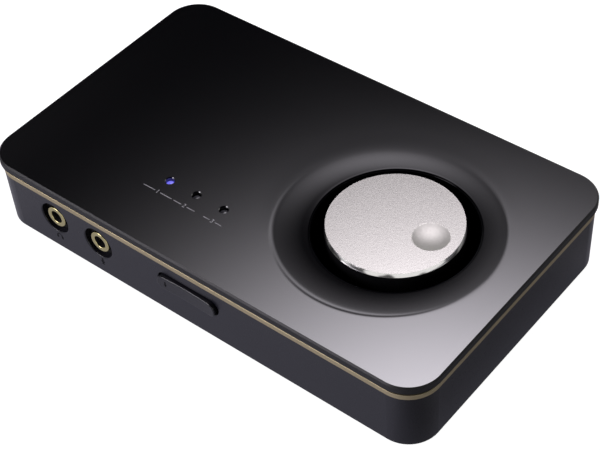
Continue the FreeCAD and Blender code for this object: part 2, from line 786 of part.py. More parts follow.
def make_top_cover():
    """Moulded plate with a shallow crater, a knob well, a locating lip, posts and lamp holes.

    The crater is a very flat dish whose axis stands off the knob's, towards the front left.
    """
    body = new_body("top_cover")
    plate = new_sketch(body, z="plate_under")
    draw_inset_outline(plate, "0")
    pad(body, plate, "plate_thickness")
    top = size("plate_top")
    cut_edges(body, "edge_chamfer", lambda e: near(e.BoundBox.ZMin, top))
    lip = new_sketch(body, z="trim_top")
    draw_inset_outline(lip, "reveal_inset")
    draw_inset_outline(lip, "lip_inset")
    pad(body, lip, "reveal_height")
    tube = new_sketch(body, "XZ_Plane", "knob_x", "knob_y")
    draw_profile(tube, [
        ("0", "well_under"),
        ("well_boss_radius", "well_under"),
        ("well_boss_radius", "well_boss_top"),
        ("0", "well_boss_top"),
    ])
    turn_about(body, "Revolution", tube)
    dish = new_sketch(body, "XZ_Plane", "crater_x", "crater_y")
    draw_profile(dish, [
        ("0", "crater_cut_top"),
        ("crater_rim_radius", "crater_cut_top"),
        ("crater_rim_radius", "plate_top"),
        ("crater_floor_radius", "crater_floor"),
        ("0", "crater_floor"),
    ], bowed=2, bend="crater_bend")
    turn_about(body, "Groove", dish)
    well = new_sketch(body, "XZ_Plane", "knob_x", "knob_y")
    draw_profile(well, [
        ("0", "well_floor"),
        ("well_radius", "well_floor"),
        ("well_radius", "crater_cut_top"),
        ("0", "crater_cut_top"),
    ])
    turn_about(body, "Groove", well)
    axis = Vector(size("knob_x"), size("knob_y"), 0)
    mouth = size("well_radius")
    under = size("plate_under")
    round_edges(body, "well_lip_fillet", lambda e: wraps(e, axis, mouth, under))
    hole = new_sketch(body, x="knob_x", y="knob_y", z="well_floor")
    draw_circle(hole, "bushing_hole")
    pocket(body, hole, "well_skin + 0.5")
    for index in range(3):
        lamp = new_sketch(body, x="lamp_x" + " + lamp_pitch" * index, y="lamp_y", z="plate_top")
        draw_circle(lamp, "lamp_hole_radius")
        pocket(body, lamp, "plate_thickness + 0.5")
    lamp_r = size("lamp_hole_radius")
    cut_edges(body, "lamp_hole_chamfer", lambda e: level_ring(e, top, lamp_r))
    posts = new_sketch(body, z="boss_top")
    draw_four_circles(posts, "post_x", "post_y", "post_radius")
    pad(body, posts, "plate_under - boss_top + 0.5")
    pilots = new_sketch(body, z="boss_top")
    draw_four_circles(pilots, "post_x", "post_y", "case_screw_radius")
    pocket(body, pilots, "pilot_depth", reverse=True)
    return body


def make_knob():
    """Aluminium cap with a finger dimple, and the plastic body that carries it."""
    cap = turned("knob_cap", [
        ("0", "0"),
        ("knob_cap_seat_radius", "0"),
        ("knob_edge_radius", "edge_up"),
        ("knob_face_radius", "knob_cap_thickness"),
        ("0", "knob_cap_thickness"),
    ], "knob_x", "knob_y", "cap_seat")
    dimple = new_sketch(cap, "XZ_Plane", "dimple_x", "dimple_y", "knob_cap_thickness - dimple_depth")
    radius = size("dimple_radius")
    depth = size("dimple_depth")
    ball = (radius * radius + depth * depth) / (2 * depth)
    start = Vector(0, 0, 0)
    middle = Vector(radius / 2, ball - (ball * ball - radius * radius / 4) ** 0.5, 0)
    end = Vector(radius, depth, 0)
    arc = dimple.addGeometry(Part.Arc(start, middle, end))
    top = dimple.addGeometry(Part.LineSegment(end, Vector(0, depth, 0)))
    axis = dimple.addGeometry(Part.LineSegment(Vector(0, depth, 0), start))
    dimple.addConstraint(Sketcher.Constraint("Coincident", arc, 2, top, 1))
    dimple.addConstraint(Sketcher.Constraint("Coincident", top, 2, axis, 1))
    dimple.addConstraint(Sketcher.Constraint("Coincident", axis, 2, arc, 1))
    dimple.addConstraint(Sketcher.Constraint("Coincident", arc, 1, *ORIGIN))
    dimple.addConstraint(Sketcher.Constraint("PointOnObject", arc, 3, Axis.UPRIGHT))
    dimple.addConstraint(Sketcher.Constraint("PointOnObject", top, 2, Axis.UPRIGHT))
    dimple.addConstraint(Sketcher.Constraint("Horizontal", top))
    dimension(dimple, "dimple_radius", "DistanceX", *ORIGIN, top, 1)
    dimension(dimple, "dimple_depth", "DistanceY", *ORIGIN, top, 1)
    turn_about(cap, "Groove", dimple)
    hub = turned("knob_body", [
        ("skirt_inner", "0"),
        ("skirt_radius", "0"),
        ("skirt_radius", "knob_body_height"),
        ("0", "knob_body_height"),
        ("0", "shaft_hole_top"),
        ("shaft_radius", "shaft_hole_top"),
        ("shaft_radius", "hub_drop"),
        ("hub_radius", "hub_drop"),
        ("hub_radius", "web_drop"),
        ("skirt_inner", "web_drop"),
    ], "knob_x", "knob_y", "skirt_bottom")
    return [cap, hub]


def make_encoder():
    """Push-turn encoder: body on the board, bushing, shaft and switch plunger."""
    block = box("encoder_block", "encoder_size", "encoder_size", "encoder_height", "knob_x", "knob_y", "board_top")
    cavity = rod("encoder_cavity", "encoder_cavity_radius", "encoder_height", "knob_x", "knob_y",
                 "board_top + encoder_cavity_floor")
    body = cut("encoder_body", block, [cavity])
    bushing = turned("encoder_bushing", [
        ("bushing_bore", "0"),
        ("bushing_radius", "0"),
        ("bushing_radius", "bushing_height"),
        ("bushing_bore", "bushing_height"),
    ], "knob_x", "knob_y", "encoder_top")
    shaft = rod("encoder_shaft", "shaft_radius", "shaft_length", "knob_x", "knob_y", "shaft_bottom")
    plunger = rod("encoder_plunger", "plunger_radius", "plunger_height", "knob_x", "knob_y", "plunger_bottom")
    return [body, bushing, shaft, plunger]


def make_board():
    """Circuit board with its screws, chips, crystal and capacitors."""
    plate = box("board_plate", "board_length", "board_depth", "board_thickness", "0", "0", "board_bottom")
    hole = rod("board_hole", "board_screw_radius + board_screw_gap", "board_thickness",
               "board_screw_x", "board_screw_y", "board_bottom")
    items = [cut("main_board", plate, [four_of("board_holes", hole)])]
    screw = turned("board_screw", [
        ("0", "0"),
        ("board_screw_radius", "0"),
        ("board_screw_radius", "board_screw_grip - 0.2 + board_thickness"),
        ("board_head_radius", "board_screw_grip - 0.2 + board_thickness"),
        ("board_head_radius", "board_screw_grip - 0.2 + board_thickness + board_head_height"),
        ("0", "board_screw_grip - 0.2 + board_thickness + board_head_height"),
    ], "board_screw_x", "board_screw_y", "board_bottom - board_screw_grip + 0.2")
    items.append(four_of("board_screws", screw))
    for name, length, width, height, x, y in (
        ("usb_audio_chip", "usb_chip_size", "usb_chip_size", "usb_chip_height",
         "usb_chip_x", "can_row - usb_chip_row_gap"),
        ("codec_chip", "codec_size", "codec_size", "codec_height",
         "can_start + can_pitch", "can_row - codec_row_gap"),
        ("headphone_amp_chip", "amp_length", "amp_width", "amp_height",
         "can_start + can_side", "amp_end - can_row"),
        ("crystal_can", "crystal_length", "crystal_width", "crystal_height",
         "crystal_x", "can_row - can_end"),
    ):
        items.append(box(name, length, width, height, x, y, "board_top"))
    cans = []
    x = "can_start"
    for number in range(1, 5):
        cans.append(rod("capacitor_%d" % number, "can_radius", "can_height", x, "can_row", "board_top"))
        x += " + can_pitch"
    group = DOC.addObject("Part::Compound", "capacitors")
    group.Label = "capacitors"
    group.Links = cans
    items.append(group)
    return items


def make_jack(name, x, front):
    """A 3.5 mm socket: metal sleeve and the moulded body behind it."""
    lay = TOWARDS_FRONT if front else ALONG_Y
    nose = "front_jack_nose" if front else "rear_jack_nose"
    height = "jack_body_height" if front else "rear_jack_body_height"
    z = "socket_z" if front else "rear_socket_z"

    def inside(depth):
        """Y of a plane this deep behind the body's mouth face."""
        if front:
            return "0 - front_jack_front + " + depth
        return "panel_inner - " + depth

    sleeve = turned(name + "_jack_barrel", [
        ("jack_bore", "0"),
        ("jack_sleeve_radius", "0"),
        ("jack_sleeve_radius", "jack_seat_depth + " + nose),
        ("jack_bore", "jack_seat_depth + " + nose),
    ], x, inside("jack_seat_depth"), z, lay)
    block = box(name + "_block", "jack_body_width", "jack_body_length", height, x, "0", "board_top")
    block.setExpression("Placement.Base.y", expr(inside("0" if front else "jack_body_length")))
    seat = rod(name + "_seat", "jack_sleeve_radius", "jack_seat_depth", x, inside("jack_seat_depth"), z, lay)
    bore = rod(name + "_bore", "jack_bore", "jack_bore_depth", x, inside("jack_bore_depth"), z, lay)
    return [sleeve, cut(name + "_jack_body", block, [seat, bore])]


def make_phono(name, x):
    """A phono socket: earth shell, insulator with the centre contact hole, and body."""
    inner = "phono_radius - phono_wall"
    shell = turned(name + "_phono_shell", [
        (inner, "0"),
        ("phono_radius - phono_neck", "0"),
        ("phono_radius - phono_neck", "panel_flange + panel_thickness + phono_relief"),
        ("phono_radius", "panel_flange + panel_thickness + phono_relief"),
        ("phono_radius", "phono_length"),
        (inner, "phono_length"),
    ], x, "panel_inner", "rear_socket_z", ALONG_Y)
    insulator = turned(name + "_phono_insulator", [
        ("phono_bore", "0"),
        (inner, "0"),
        (inner, "phono_length - phono_setback"),
        ("phono_bore", "phono_length - phono_setback"),
    ], x, "panel_inner", "rear_socket_z", ALONG_Y)
    body = box(name + "_phono_body", "phono_body_size", "phono_body_length", "phono_body_size", x, "0", "board_top")
    body.setExpression("Placement.Base.y", expr("panel_inner - phono_body_length"))
    return [shell, insulator, body]


def make_usb():
    """Small USB socket: folded shell with a contact tongue inside."""
    outer = box("usb_outer", "usb_width", "usb_length", "usb_height", "usb_x", "0", "board_top")
    inner = box("usb_inner", "usb_width - usb_skin - usb_skin", "usb_length", "usb_height - usb_skin - usb_skin",
                "usb_x", "0", "board_top + usb_skin")
    back = "panel_inner + usb_nose - usb_length"
    outer.setExpression("Placement.Base.y", expr(back))
    inner.setExpression("Placement.Base.y", expr(back + " + usb_skin + usb_skin"))
    shell = cut("usb_shell", outer, [inner])
    tongue = box("usb_tongue", "usb_tongue_width", "usb_tongue_length", "usb_tongue_height", "usb_x", "0", "board_top")
    tongue.setExpression("Placement.Base.y", expr(back + " + usb_skin + usb_skin"))
    middle = "%s + (%s - %s) / 2" % (expr("board_top"), expr("usb_height"), expr("usb_tongue_height"))
    tongue.setExpression("Placement.Base.z", middle)
    return [shell, tongue]


def make_rear_panel():
    """Plate in the case's rear opening, with a flange inside and holes for the sockets."""
    body = new_body("rear_panel")
    flange = new_sketch(body, "XZ_Plane", "0", "panel_inner", "socket_z")
    low = size("socket_z") - size("floor_top")
    high = size("case_top") - size("tongue_drop") - 0.2 - size("socket_z")
    half = size("panel_width") / 2 + size("panel_flange_side")
    corners = [(-half, -low), (half, -low), (half, high), (-half, high)]
    draw_signed(flange, corners, "panel_width + panel_flange_side + panel_flange_side",
                "case_top - tongue_drop - 0.2 - floor_top", "socket_z - floor_top")
    pad(body, flange, "panel_flange", reverse=True)
    face = new_sketch(body, "XZ_Plane", "0", "inner_depth", "socket_z")
    low = size("socket_z") - size("foot_stand") - size("panel_sill") - size("panel_gap")
    high = size("case_top") - size("socket_z")
    half = size("panel_width") / 2 - size("panel_gap")
    corners = [(-half, -low), (half, -low), (half, high), (-half, high)]
    draw_signed(face, corners, "panel_width - panel_gap - panel_gap",
                "case_top - foot_stand - panel_sill - panel_gap", "socket_z - foot_stand - panel_sill - panel_gap")
    pad(body, face, "panel_thickness", reverse=True)
    through = "panel_flange + panel_thickness + 0.5"
    for name in REAR_JACKS:
        hole = new_sketch(body, "XZ_Plane", name + "_x", "panel_inner - 0.2", "rear_socket_z")
        draw_circle(hole, "jack_sleeve_radius + rear_jack_hole_gap")
        pocket(body, hole, through)
    for name in PHONO:
        hole = new_sketch(body, "XZ_Plane", name + "_x", "panel_inner - 0.2", "rear_socket_z")
        draw_circle(hole, "phono_radius + phono_hole_gap")
        pocket(body, hole, through)
    port = new_sketch(body, "XZ_Plane", "usb_x", "panel_inner - 0.2", "board_top")
    half = size("usb_width") / 2 + size("usb_hole_gap")
    gap = size("usb_hole_gap")
    corners = [(-half, -gap), (half, -gap), (half, size("usb_height") + gap), (-half, size("usb_height") + gap)]
    draw_signed(port, corners, "usb_width + usb_hole_gap + usb_hole_gap",
                "usb_height + usb_hole_gap + usb_hole_gap", "usb_hole_gap")
    pocket(body, port, through)
    return body


def draw_signed(sketch, corners, width, height, drop):
    """Rectangle centred across the sketch's origin, its foot a distance below it."""
    points = [Vector(x, y, 0) for x, y in corners]
    lines = []
    for turn in range(4):
        lines.append(sketch.addGeometry(Part.LineSegment(points[turn], points[(turn + 1) % 4])))
    for turn in range(4):
        after = lines[(turn + 1) % 4]
        sketch.addConstraint(Sketcher.Constraint("Coincident", lines[turn], 2, after, 1))
    for turn, kind in enumerate(("Horizontal", "Vertical", "Horizontal", "Vertical")):
        if turn != 2:
            sketch.addConstraint(Sketcher.Constraint(kind, lines[turn]))
    sketch.addConstraint(Sketcher.Constraint("Symmetric", lines[2], 1, lines[2], 2, Axis.UPRIGHT))
    dimension(sketch, width, "DistanceX", lines[0], 1, lines[0], 2)
    dimension(sketch, height, "DistanceY", lines[1], 1, lines[1], 2)
    dimension(sketch, drop, "DistanceY", lines[0], 1, *ORIGIN)


def make_front_key():
    """Oval key with a scooped face and a retaining flange, and the switch behind it."""
    key = new_body("front_key")
    plan = new_sketch(key, z="0 - key_slot_radius + key_gap")
    half = size("key_length") / 2
    end = size("key_end_depth")
    low = end - size("key_scoop_depth")
    back = plan.addGeometry(Part.LineSegment(Vector(-half, 0, 0), Vector(half, 0, 0)))
    right = plan.addGeometry(Part.LineSegment(Vector(half, 0, 0), Vector(half, end, 0)))
    front = plan.addGeometry(Part.Arc(Vector(half, end, 0), Vector(0, low, 0), Vector(-half, end, 0)))
    left = plan.addGeometry(Part.LineSegment(Vector(-half, end, 0), Vector(-half, 0, 0)))
    arc_start, arc_end = (1, 2) if plan.getPoint(front, 1).x > 0 else (2, 1)
    plan.addConstraint(Sketcher.Constraint("Coincident", back, 2, right, 1))
    plan.addConstraint(Sketcher.Constraint("Coincident", right, 2, front, arc_start))
    plan.addConstraint(Sketcher.Constraint("Coincident", front, arc_end, left, 1))
    plan.addConstraint(Sketcher.Constraint("Coincident", left, 2, back, 1))
    plan.addConstraint(Sketcher.Constraint("Symmetric", back, 1, back, 2, *ORIGIN))
    plan.addConstraint(Sketcher.Constraint("Horizontal", back))
    plan.addConstraint(Sketcher.Constraint("Vertical", right))
    plan.addConstraint(Sketcher.Constraint("Vertical", left))
    plan.addConstraint(Sketcher.Constraint("PointOnObject", front, 3, Axis.UPRIGHT))
    dimension(plan, "key_length", "DistanceX", back, 1, back, 2)
    dimension(plan, "key_end_depth", "DistanceY", right, 1, right, 2)
    dimension(plan, "key_scoop_radius", "Radius", front)
    pad(key, plan, "key_height")
    along = size("key_end_depth")

    def is_end_edge(edge):
        straight = edge.Curve.TypeId == "Part::GeomLine"
        return straight and near(edge.BoundBox.YLength, along)

    round_edges(key, "key_corner", is_end_edge)
    flange_half = size("key_flange_thickness")

    def is_rim(edge):
        return edge.BoundBox.YMin > flange_half

    round_edges(key, "key_edge_round", is_rim)
    flange = new_sketch(key, "XZ_Plane")
    draw_rectangle(flange, "key_flange_length", "key_flange_height")
    pad(key, flange, "key_flange_thickness", reverse=True)
    key.Placement.Rotation = FreeCAD.Rotation(Vector(0, 0, 1), 180)
    place(key, "0", "0 - key_back", "key_z")
    plunger = rod("key_switch_plunger", "switch_plunger_radius", "switch_plunger_out + switch_plunger_in",
                  "0", "0 - key_back", "key_z", ALONG_Y)
    block = box("switch_block", "switch_width", "switch_depth", "switch_height", "0", "0", "board_top")
    block.setExpression("Placement.Base.y", expr("0 - switch_front"))
    hole = rod("switch_hole", "switch_plunger_radius + switch_hole_gap", "switch_hole_depth",
               "0", "0 - switch_front", "key_z", ALONG_Y)
    return [key, plunger, cut("key_switch_body", block, [hole])]


def make_lamps():
    """Light pipes in the cover's lamp holes, over lamps on the board."""
    items = []
    for index in range(3):
        x = "lamp_x" + " + lamp_pitch" * index
        items.append(turned("light_pipe_%d" % (index + 1), [
            ("0", "0"),
            ("pipe_radius", "0"),
            ("pipe_radius", "pipe_flange_up"),
            ("pipe_flange_radius", "pipe_flange_up"),
            ("pipe_flange_radius", "pipe_flange_top"),
            ("pipe_radius", "pipe_flange_top"),
            ("pipe_radius", "pipe_length"),
            ("0", "pipe_length"),
        ], x, "lamp_y", "pipe_bottom"))
        items.append(box("led_%d" % (index + 1), "led_size", "led_size", "led_height", x, "lamp_y", "board_top"))
    return items


def make_feet():
    """Four rubber feet in shallow recesses under the case."""
    items = []
    for y_name, y in (("front", "0 - foot_y"), ("rear", "foot_y")):
        for x_name, x in (("left", "0 - foot_x"), ("right", "foot_x")):
            items.append(turned("foot_%s_%s" % (y_name, x_name), [
                ("0", "0"),
                ("foot_radius - foot_round", "0"),
                ("foot_radius", "foot_round"),
                ("foot_radius", "foot_thickness"),
                ("0", "foot_thickness"),
            ], x, y, "0"))
    return items


def make_case_screws():
    """Four screws from below, through the case's bosses into the cover's posts."""
    screw = turned("case_screw", [
        ("0", "0"),
        ("case_head_radius", "0"),
        ("case_head_radius", "case_head_height"),
        ("case_screw_radius", "case_head_height"),
        ("case_screw_radius", "case_head_height + case_screw_length"),
        ("0", "case_head_height + case_screw_length"),
    ], "post_x", "post_y", "foot_stand + counterbore_depth - case_head_height")
    return four_of("case_screws", screw)


def write_parts(items):
    """Check every object and write one STEP file for each sub-part."""
    for obj in DOC.Objects:
        if "Invalid" in obj.State or "Error" in obj.State:
            raise RuntimeError("%s is in state %s" % (obj.Label, obj.State))
    os.makedirs("parts", exist_ok=True)
    for item in items:
        shape = item.Shape
        if shape.isNull() or not shape.isValid() or not shape.Solids:
            raise RuntimeError("%s has no valid solid" % item.Label)
        shape.exportStep("parts/%s.step" % item.Label)


fill_sheet()
pieces = [make_lower_case(), make_trim_ring(), make_top_cover(), make_rear_panel(), make_case_screws()]
pieces += make_knob() + make_encoder() + make_board() + make_front_key() + make_lamps() + make_feet() + make_usb()
for jack_name in FRONT_JACKS:
    pieces += make_jack(jack_name, jack_name + "_x", front=True)
for jack_name in REAR_JACKS:
    pieces += make_jack(jack_name, jack_name + "_x", front=False)
for phono_name in PHONO:
    pieces += make_phono(phono_name, phono_name + "_x")
DOC.recompute()
write_parts(pieces)
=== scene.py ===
"""Looks of a desktop sound card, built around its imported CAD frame.

All sizes are in millimetres, in the CAD frame: +Z up, front at -Y, origin on the desk.
Meshes are scaled to metres once, when a piece is finished.
"""

import json
import logging
import math
from dataclasses import dataclass
from enum import Enum
from typing import Iterable, Sequence

import bmesh
import bpy
from bmesh.types import BMEdge, BMesh, BMVert
from bpy.types import Material, Node, NodeSocket, NodeTree
from mathutils import Matrix, Vector


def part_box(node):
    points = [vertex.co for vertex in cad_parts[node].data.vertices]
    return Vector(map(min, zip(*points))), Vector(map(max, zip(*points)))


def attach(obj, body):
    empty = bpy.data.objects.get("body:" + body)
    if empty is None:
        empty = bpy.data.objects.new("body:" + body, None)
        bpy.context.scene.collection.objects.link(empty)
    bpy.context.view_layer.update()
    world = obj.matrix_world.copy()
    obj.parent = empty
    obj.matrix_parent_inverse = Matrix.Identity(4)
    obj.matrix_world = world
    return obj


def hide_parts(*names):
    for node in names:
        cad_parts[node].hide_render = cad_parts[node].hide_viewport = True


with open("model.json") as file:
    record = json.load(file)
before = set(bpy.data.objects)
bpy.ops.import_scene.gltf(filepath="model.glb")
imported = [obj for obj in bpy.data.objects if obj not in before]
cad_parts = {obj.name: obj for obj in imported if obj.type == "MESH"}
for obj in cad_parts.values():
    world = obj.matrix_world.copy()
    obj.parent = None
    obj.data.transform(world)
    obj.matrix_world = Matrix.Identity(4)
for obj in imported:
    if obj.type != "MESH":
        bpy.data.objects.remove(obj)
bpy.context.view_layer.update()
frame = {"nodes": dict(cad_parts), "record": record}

LOG = logging.getLogger("sound_card")
MM = 0.001
IMAGE_WIDTH = 600
UP = Vector((0.0, 0.0, 1.0))
WHITE = "#ffffff"
WELD = 0.0005
SLACK = 0.002
FAR_FRONT = -100.0
ARCH_STEPS = 18
SIGN_SHIFT = 0.4
SIGN_Z = 6.3
SIGN_SIZE = 2.1
PATCH_NOISE = {"Detail": 3.0, "Roughness": 0.6}
GRAIN_NOISE = {"Detail": 2.0, "Roughness": 0.55}
GRAIN_LOW = 0.3
GRAIN_HIGH = 0.7
# The wave texture multiplies its scale by this.
WAVE_FACTOR = 20


class Body(Enum):
    """The CAD bodies that a piece can ride on."""

    CASE = "case"
    KNOB = "knob"
    KEY = "key"


class Lie(Enum):
    """Which way a turned piece's axis points."""

    TO_FRONT = Matrix.Rotation(math.pi / 2, 4, "X")
    TO_REAR = Matrix.Rotation(-math.pi / 2, 4, "X")


def linear(code: str) -> tuple[float, float, float, float]:
    """Turn an sRGB hex colour into linear RGBA.

    Args:
        code: colour such as "#1a1a1e".

    Returns:
        Linear red, green, blue and an alpha of one.
    """
    parts = [int(code[i:i + 2], 16) / 255 for i in (1, 3, 5)]
    red, green, blue = (c / 12.92 if c <= 0.04045 else ((c + 0.055) / 1.055) ** 2.4 for c in parts)
    return red, green, blue, 1.0


def add_node(tree: NodeTree, kind: str, settings: dict | None = None) -> Node:
    """Add a node with its settings and links.

    Args:
        tree: the node tree.
        kind: the node's type name, after the ShaderNode that all begin with.
        settings: properties, and input sockets by name or number, with their values. An output among
            the values is linked, and a node stands for its first output.

    Returns:
        The new node.
    """
    node = tree.nodes.new("ShaderNode" + kind)
    for name, value in (settings or {}).items():
        if isinstance(value, Node):
            value = value.outputs[0]
        if isinstance(value, NodeSocket):
            tree.links.new(value, node.inputs[name])
        elif isinstance(name, str) and hasattr(node, name):
            setattr(node, name, value)
        else:
            node.inputs[name].default_value = value
    return node


def in_mirror(path: Node) -> Node:
    """One for light that a gloss or a clear piece sends on, from a light path."""
    return add_node(path.id_data, "Math", {"operation": "MAXIMUM", 0: path.outputs["Is Glossy Ray"],
                                           1: path.outputs["Is Transmission Ray"]})


def new_material(name: str) -> tuple[Material, NodeTree]:
    """Make an empty node material.

    Args:
        name: the material's name.

    Returns:
        The material and its cleared node tree.
    """
    material = bpy.data.materials.new(name)
    material.use_nodes = True
    material.node_tree.nodes.clear()
    return material, material.node_tree


def per_metre(grain_mm: float) -> float:
    """Texture scale at which one feature is about this many millimetres wide."""
    return 1.0 / (grain_mm * MM)


@dataclass(frozen=True)
class Finish:
    """A surface: two close tones mottled together, a roughness that wanders, and a fine relief.

    tone and tone_two are sRGB hex colours. mottle_mm is the width of the colour patches, grain_mm the
    width of the surface relief and relief_mm its height. rough_low and rough_high bound the roughness.
    """

    name: str
    tone: str
    tone_two: str
    rough_low: float
    rough_high: float
    mottle_mm: float = 4.0
    grain_mm: float = 0.3
    relief_mm: float = 0.002
    metallic: float = 0.0
    ior: float = 1.5
    specular: float = 0.5

    def material(self) -> Material:
        """Build the node material.

        Returns:
            The material, with its pattern on Object coordinates.
        """
        material, tree = new_material(self.name)
        place = add_node(tree, "TexCoord").outputs["Object"]
        patch = add_node(tree, "TexNoise",
                         {"Scale": per_metre(self.mottle_mm), "Vector": place, **PATCH_NOISE})
        tones = add_node(tree, "Mix", {"data_type": "RGBA", 0: patch.outputs["Fac"],
                                       6: linear(self.tone), 7: linear(self.tone_two)})
        grain = self.relief(tree, place)
        rough = add_node(tree, "MapRange", {"Value": grain, "From Min": GRAIN_LOW, "From Max": GRAIN_HIGH,
                                            "To Min": self.rough_low, "To Max": self.rough_high})
        bump = add_node(tree, "Bump", {"Strength": 1.0, "Distance": self.relief_mm * MM, "Height": grain})
        shader = add_node(tree, "BsdfPrincipled", {
            "Base Color": tones.outputs[2], "Roughness": rough, "Normal": bump,
            "Metallic": self.metallic, "Specular IOR Level": self.specular,
        })
        if not self.metallic:
            shader.inputs["IOR"].default_value = self.ior
        self.extra(tree, shader)
        add_node(tree, "OutputMaterial", {"Surface": shader})
        return material

    def relief(self, tree: NodeTree, place: NodeSocket) -> NodeSocket:
        """Fine grain of the surface, as a height between zero and one."""
        noise = add_node(tree, "TexNoise",
                         {"Scale": per_metre(self.grain_mm), "Vector": place, **GRAIN_NOISE})
        return noise.outputs["Fac"]

    def extra(self, tree: NodeTree, shader: Node) -> None:
        """Set what only one kind of finish has."""


@dataclass(frozen=True)
class TurnedFinish(Finish):
    """Metal with fine rings from a lathe tool about an upright axis."""

    centre_x: float = 0.0
    centre_y: float = 0.0
    waver: float = 0.4
    fineness: float = 2.0

    def relief(self, tree: NodeTree, place: NodeSocket) -> NodeSocket:
        """Rings about the axis.

        Args:
            tree: the node tree.
            place: the coordinates.

        Returns:
            A height between zero and one.
        """
        middle = (-self.centre_x * MM, -self.centre_y * MM, 0.0)
        centred = add_node(tree, "Mapping", {"Vector": place, "Location": middle})
        rings = add_node(tree, "TexWave", {
            "wave_type": "RINGS", "rings_direction": "Z", "Vector": centred, "Distortion": self.waver,
            "Scale": per_metre(self.grain_mm) / WAVE_FACTOR, "Detail": self.fineness,
        })
        return rings.outputs["Fac"]


@dataclass(frozen=True)
class PaintedLightDishFinish(Finish):
    """Lacquer whose reflection is painted with light and shade inside a round dish.

    The dish has its centre and radius in millimetres, and an axis across which it mirrors best, in degrees;
    along the axis the painted reflection is strongest. gloss is what it mirrors of the plate's share, swing
    how that share varies round the dish as painted highlight and painted shade, and hollow what is left of
    it at the dish's inner edge, deep millimetres in from the rim, a painted shade that darkens towards the
    knob. The change at the rim is sharp millimetres wide, and soft millimetres at the axis, where a band
    round the rim loses the share rim_loss as painted shade. On the ledge side the bright lacquer runs on
    over the ledge as a painted highlight.
    """

    centre_x: float = 0.0
    centre_y: float = 0.0
    radius: float = 1.0
    axis: float = 0.0
    gloss: float = 0.4
    swing: float = 0.25
    hollow: float = 0.15
    rim_loss: float = 0.5
    rim_band: float = 3.0
    flat: float = 2.0
    deep: float = 8.0
    sharp: float = 0.9
    soft: float = 3.0
    ledge: float = 1.4
    ledge_side: float = 270.0

    def extra(self, tree: NodeTree, shader: Node) -> None:
        """Paint light and shade into the gloss from the place in the dish.

        Args:
            tree: the node tree.
            shader: the lacquer's shader.
        """
        place = add_node(tree, "TexCoord").outputs["Object"]
        middle = (self.centre_x * MM, self.centre_y * MM, 0.0)
        centred = add_node(tree, "VectorMath", {"operation": "SUBTRACT", 0: place, 1: middle})
        level = add_node(tree, "VectorMath", {"operation": "MULTIPLY", 0: centred, 1: (1.0, 1.0, 0.0)})
        away = add_node(tree, "VectorMath", {"operation": "LENGTH", 0: level}).outputs["Value"]
        inside = add_node(tree, "Math", {"operation": "SUBTRACT", 0: self.radius * MM, 1: away})
        facing = []
        for turn in (math.radians(self.axis), math.radians(self.ledge_side)):
            towards = (math.cos(turn), math.sin(turn), 0.0)
            along = add_node(tree, "VectorMath", {"operation": "DOT_PRODUCT", 0: level, 1: towards})
            cosine = add_node(tree, "Math", {"operation": "DIVIDE", 0: along.outputs["Value"], 1: away})
            facing.append(cosine)
        side = facing[0]
        at_axis, at_ledge = (add_node(tree, "Math", {"operation": "MAXIMUM", 0: cosine, 1: 0.0})
                             for cosine in facing)
        # Painted highlight: on the ledge side the full gloss runs on over the ledge.
        ledge = add_node(tree, "Math", {"operation": "MULTIPLY", 0: at_ledge, 1: self.ledge * MM})
        past = add_node(tree, "Math", {"operation": "SUBTRACT", 0: inside, 1: ledge})
        width = add_node(tree, "MapRange", {"Value": side, "From Min": 0.0, "To Min": self.sharp * MM,
                                            "To Max": self.soft * MM})
        depth = add_node(tree, "Math", {"operation": "DIVIDE", 0: past, 1: width})
        within = add_node(tree, "MapRange", {"interpolation_type": "SMOOTHSTEP", "Value": depth,
                                             "From Min": -0.5, "From Max": 0.5})
        # Painted highlight and painted shade round the dish: the share is largest along the axis.
        square = add_node(tree, "Math", {"operation": "MULTIPLY", 0: side, 1: side})
        share = add_node(tree, "Math", {"operation": "MULTIPLY_ADD", 0: square, 1: 2 * self.swing,
                                        2: self.gloss - self.swing})
        # Painted shade: the share weakens from the rim towards the knob.
        fade = add_node(tree, "MapRange", {
            "Value": inside, "From Min": self.flat * MM, "From Max": self.deep * MM, "To Min": 1.0,
            "To Max": self.hollow,
        })
        painted_shade = add_node(tree, "Math", {"operation": "MULTIPLY", 0: share, 1: fade})
        painted_gloss = add_node(tree, "Mix", {"data_type": "FLOAT", 0: within, 2: 1.0, 3: painted_shade})
        # Painted shade in a band round the rim on the axis side.
        span = add_node(tree, "Math", {"operation": "DIVIDE", 0: inside, 1: self.rim_band * MM})
        spread = add_node(tree, "Math", {"operation": "MULTIPLY", 0: span, 1: span})
        near = add_node(tree, "Math", {"operation": "POWER", 0: 1 / math.e, 1: spread})
        rim = add_node(tree, "Math", {"operation": "MULTIPLY", 0: near, 1: at_axis})
        kept = add_node(tree, "Math", {"operation": "MULTIPLY_ADD", 0: rim, 2: self.specular,
                                       1: -self.rim_loss * self.specular})
        gloss = add_node(tree, "Math", {"operation": "MULTIPLY", 0: painted_gloss, 1: kept})
        tree.links.new(gloss.outputs[0], shader.inputs["Specular IOR Level"])


@dataclass(frozen=True)
class LampFinish(Finish):
    """Clear moulded light pipe, glowing when its lamp is on."""

    glow: str = "#000000"
    glow_strength: float = 0.0
    clear: float = 0.6

    def extra(self, tree: NodeTree, shader: Node) -> None:
        """Let light through and add the glow.

        Args:
            tree: the node tree.
            shader: the pipe's shader.
        """
        shader.inputs["Transmission Weight"].default_value = self.clear
        shader.inputs["Emission Color"].default_value = linear(self.glow)
        shader.inputs["Emission Strength"].default_value = self.glow_strength


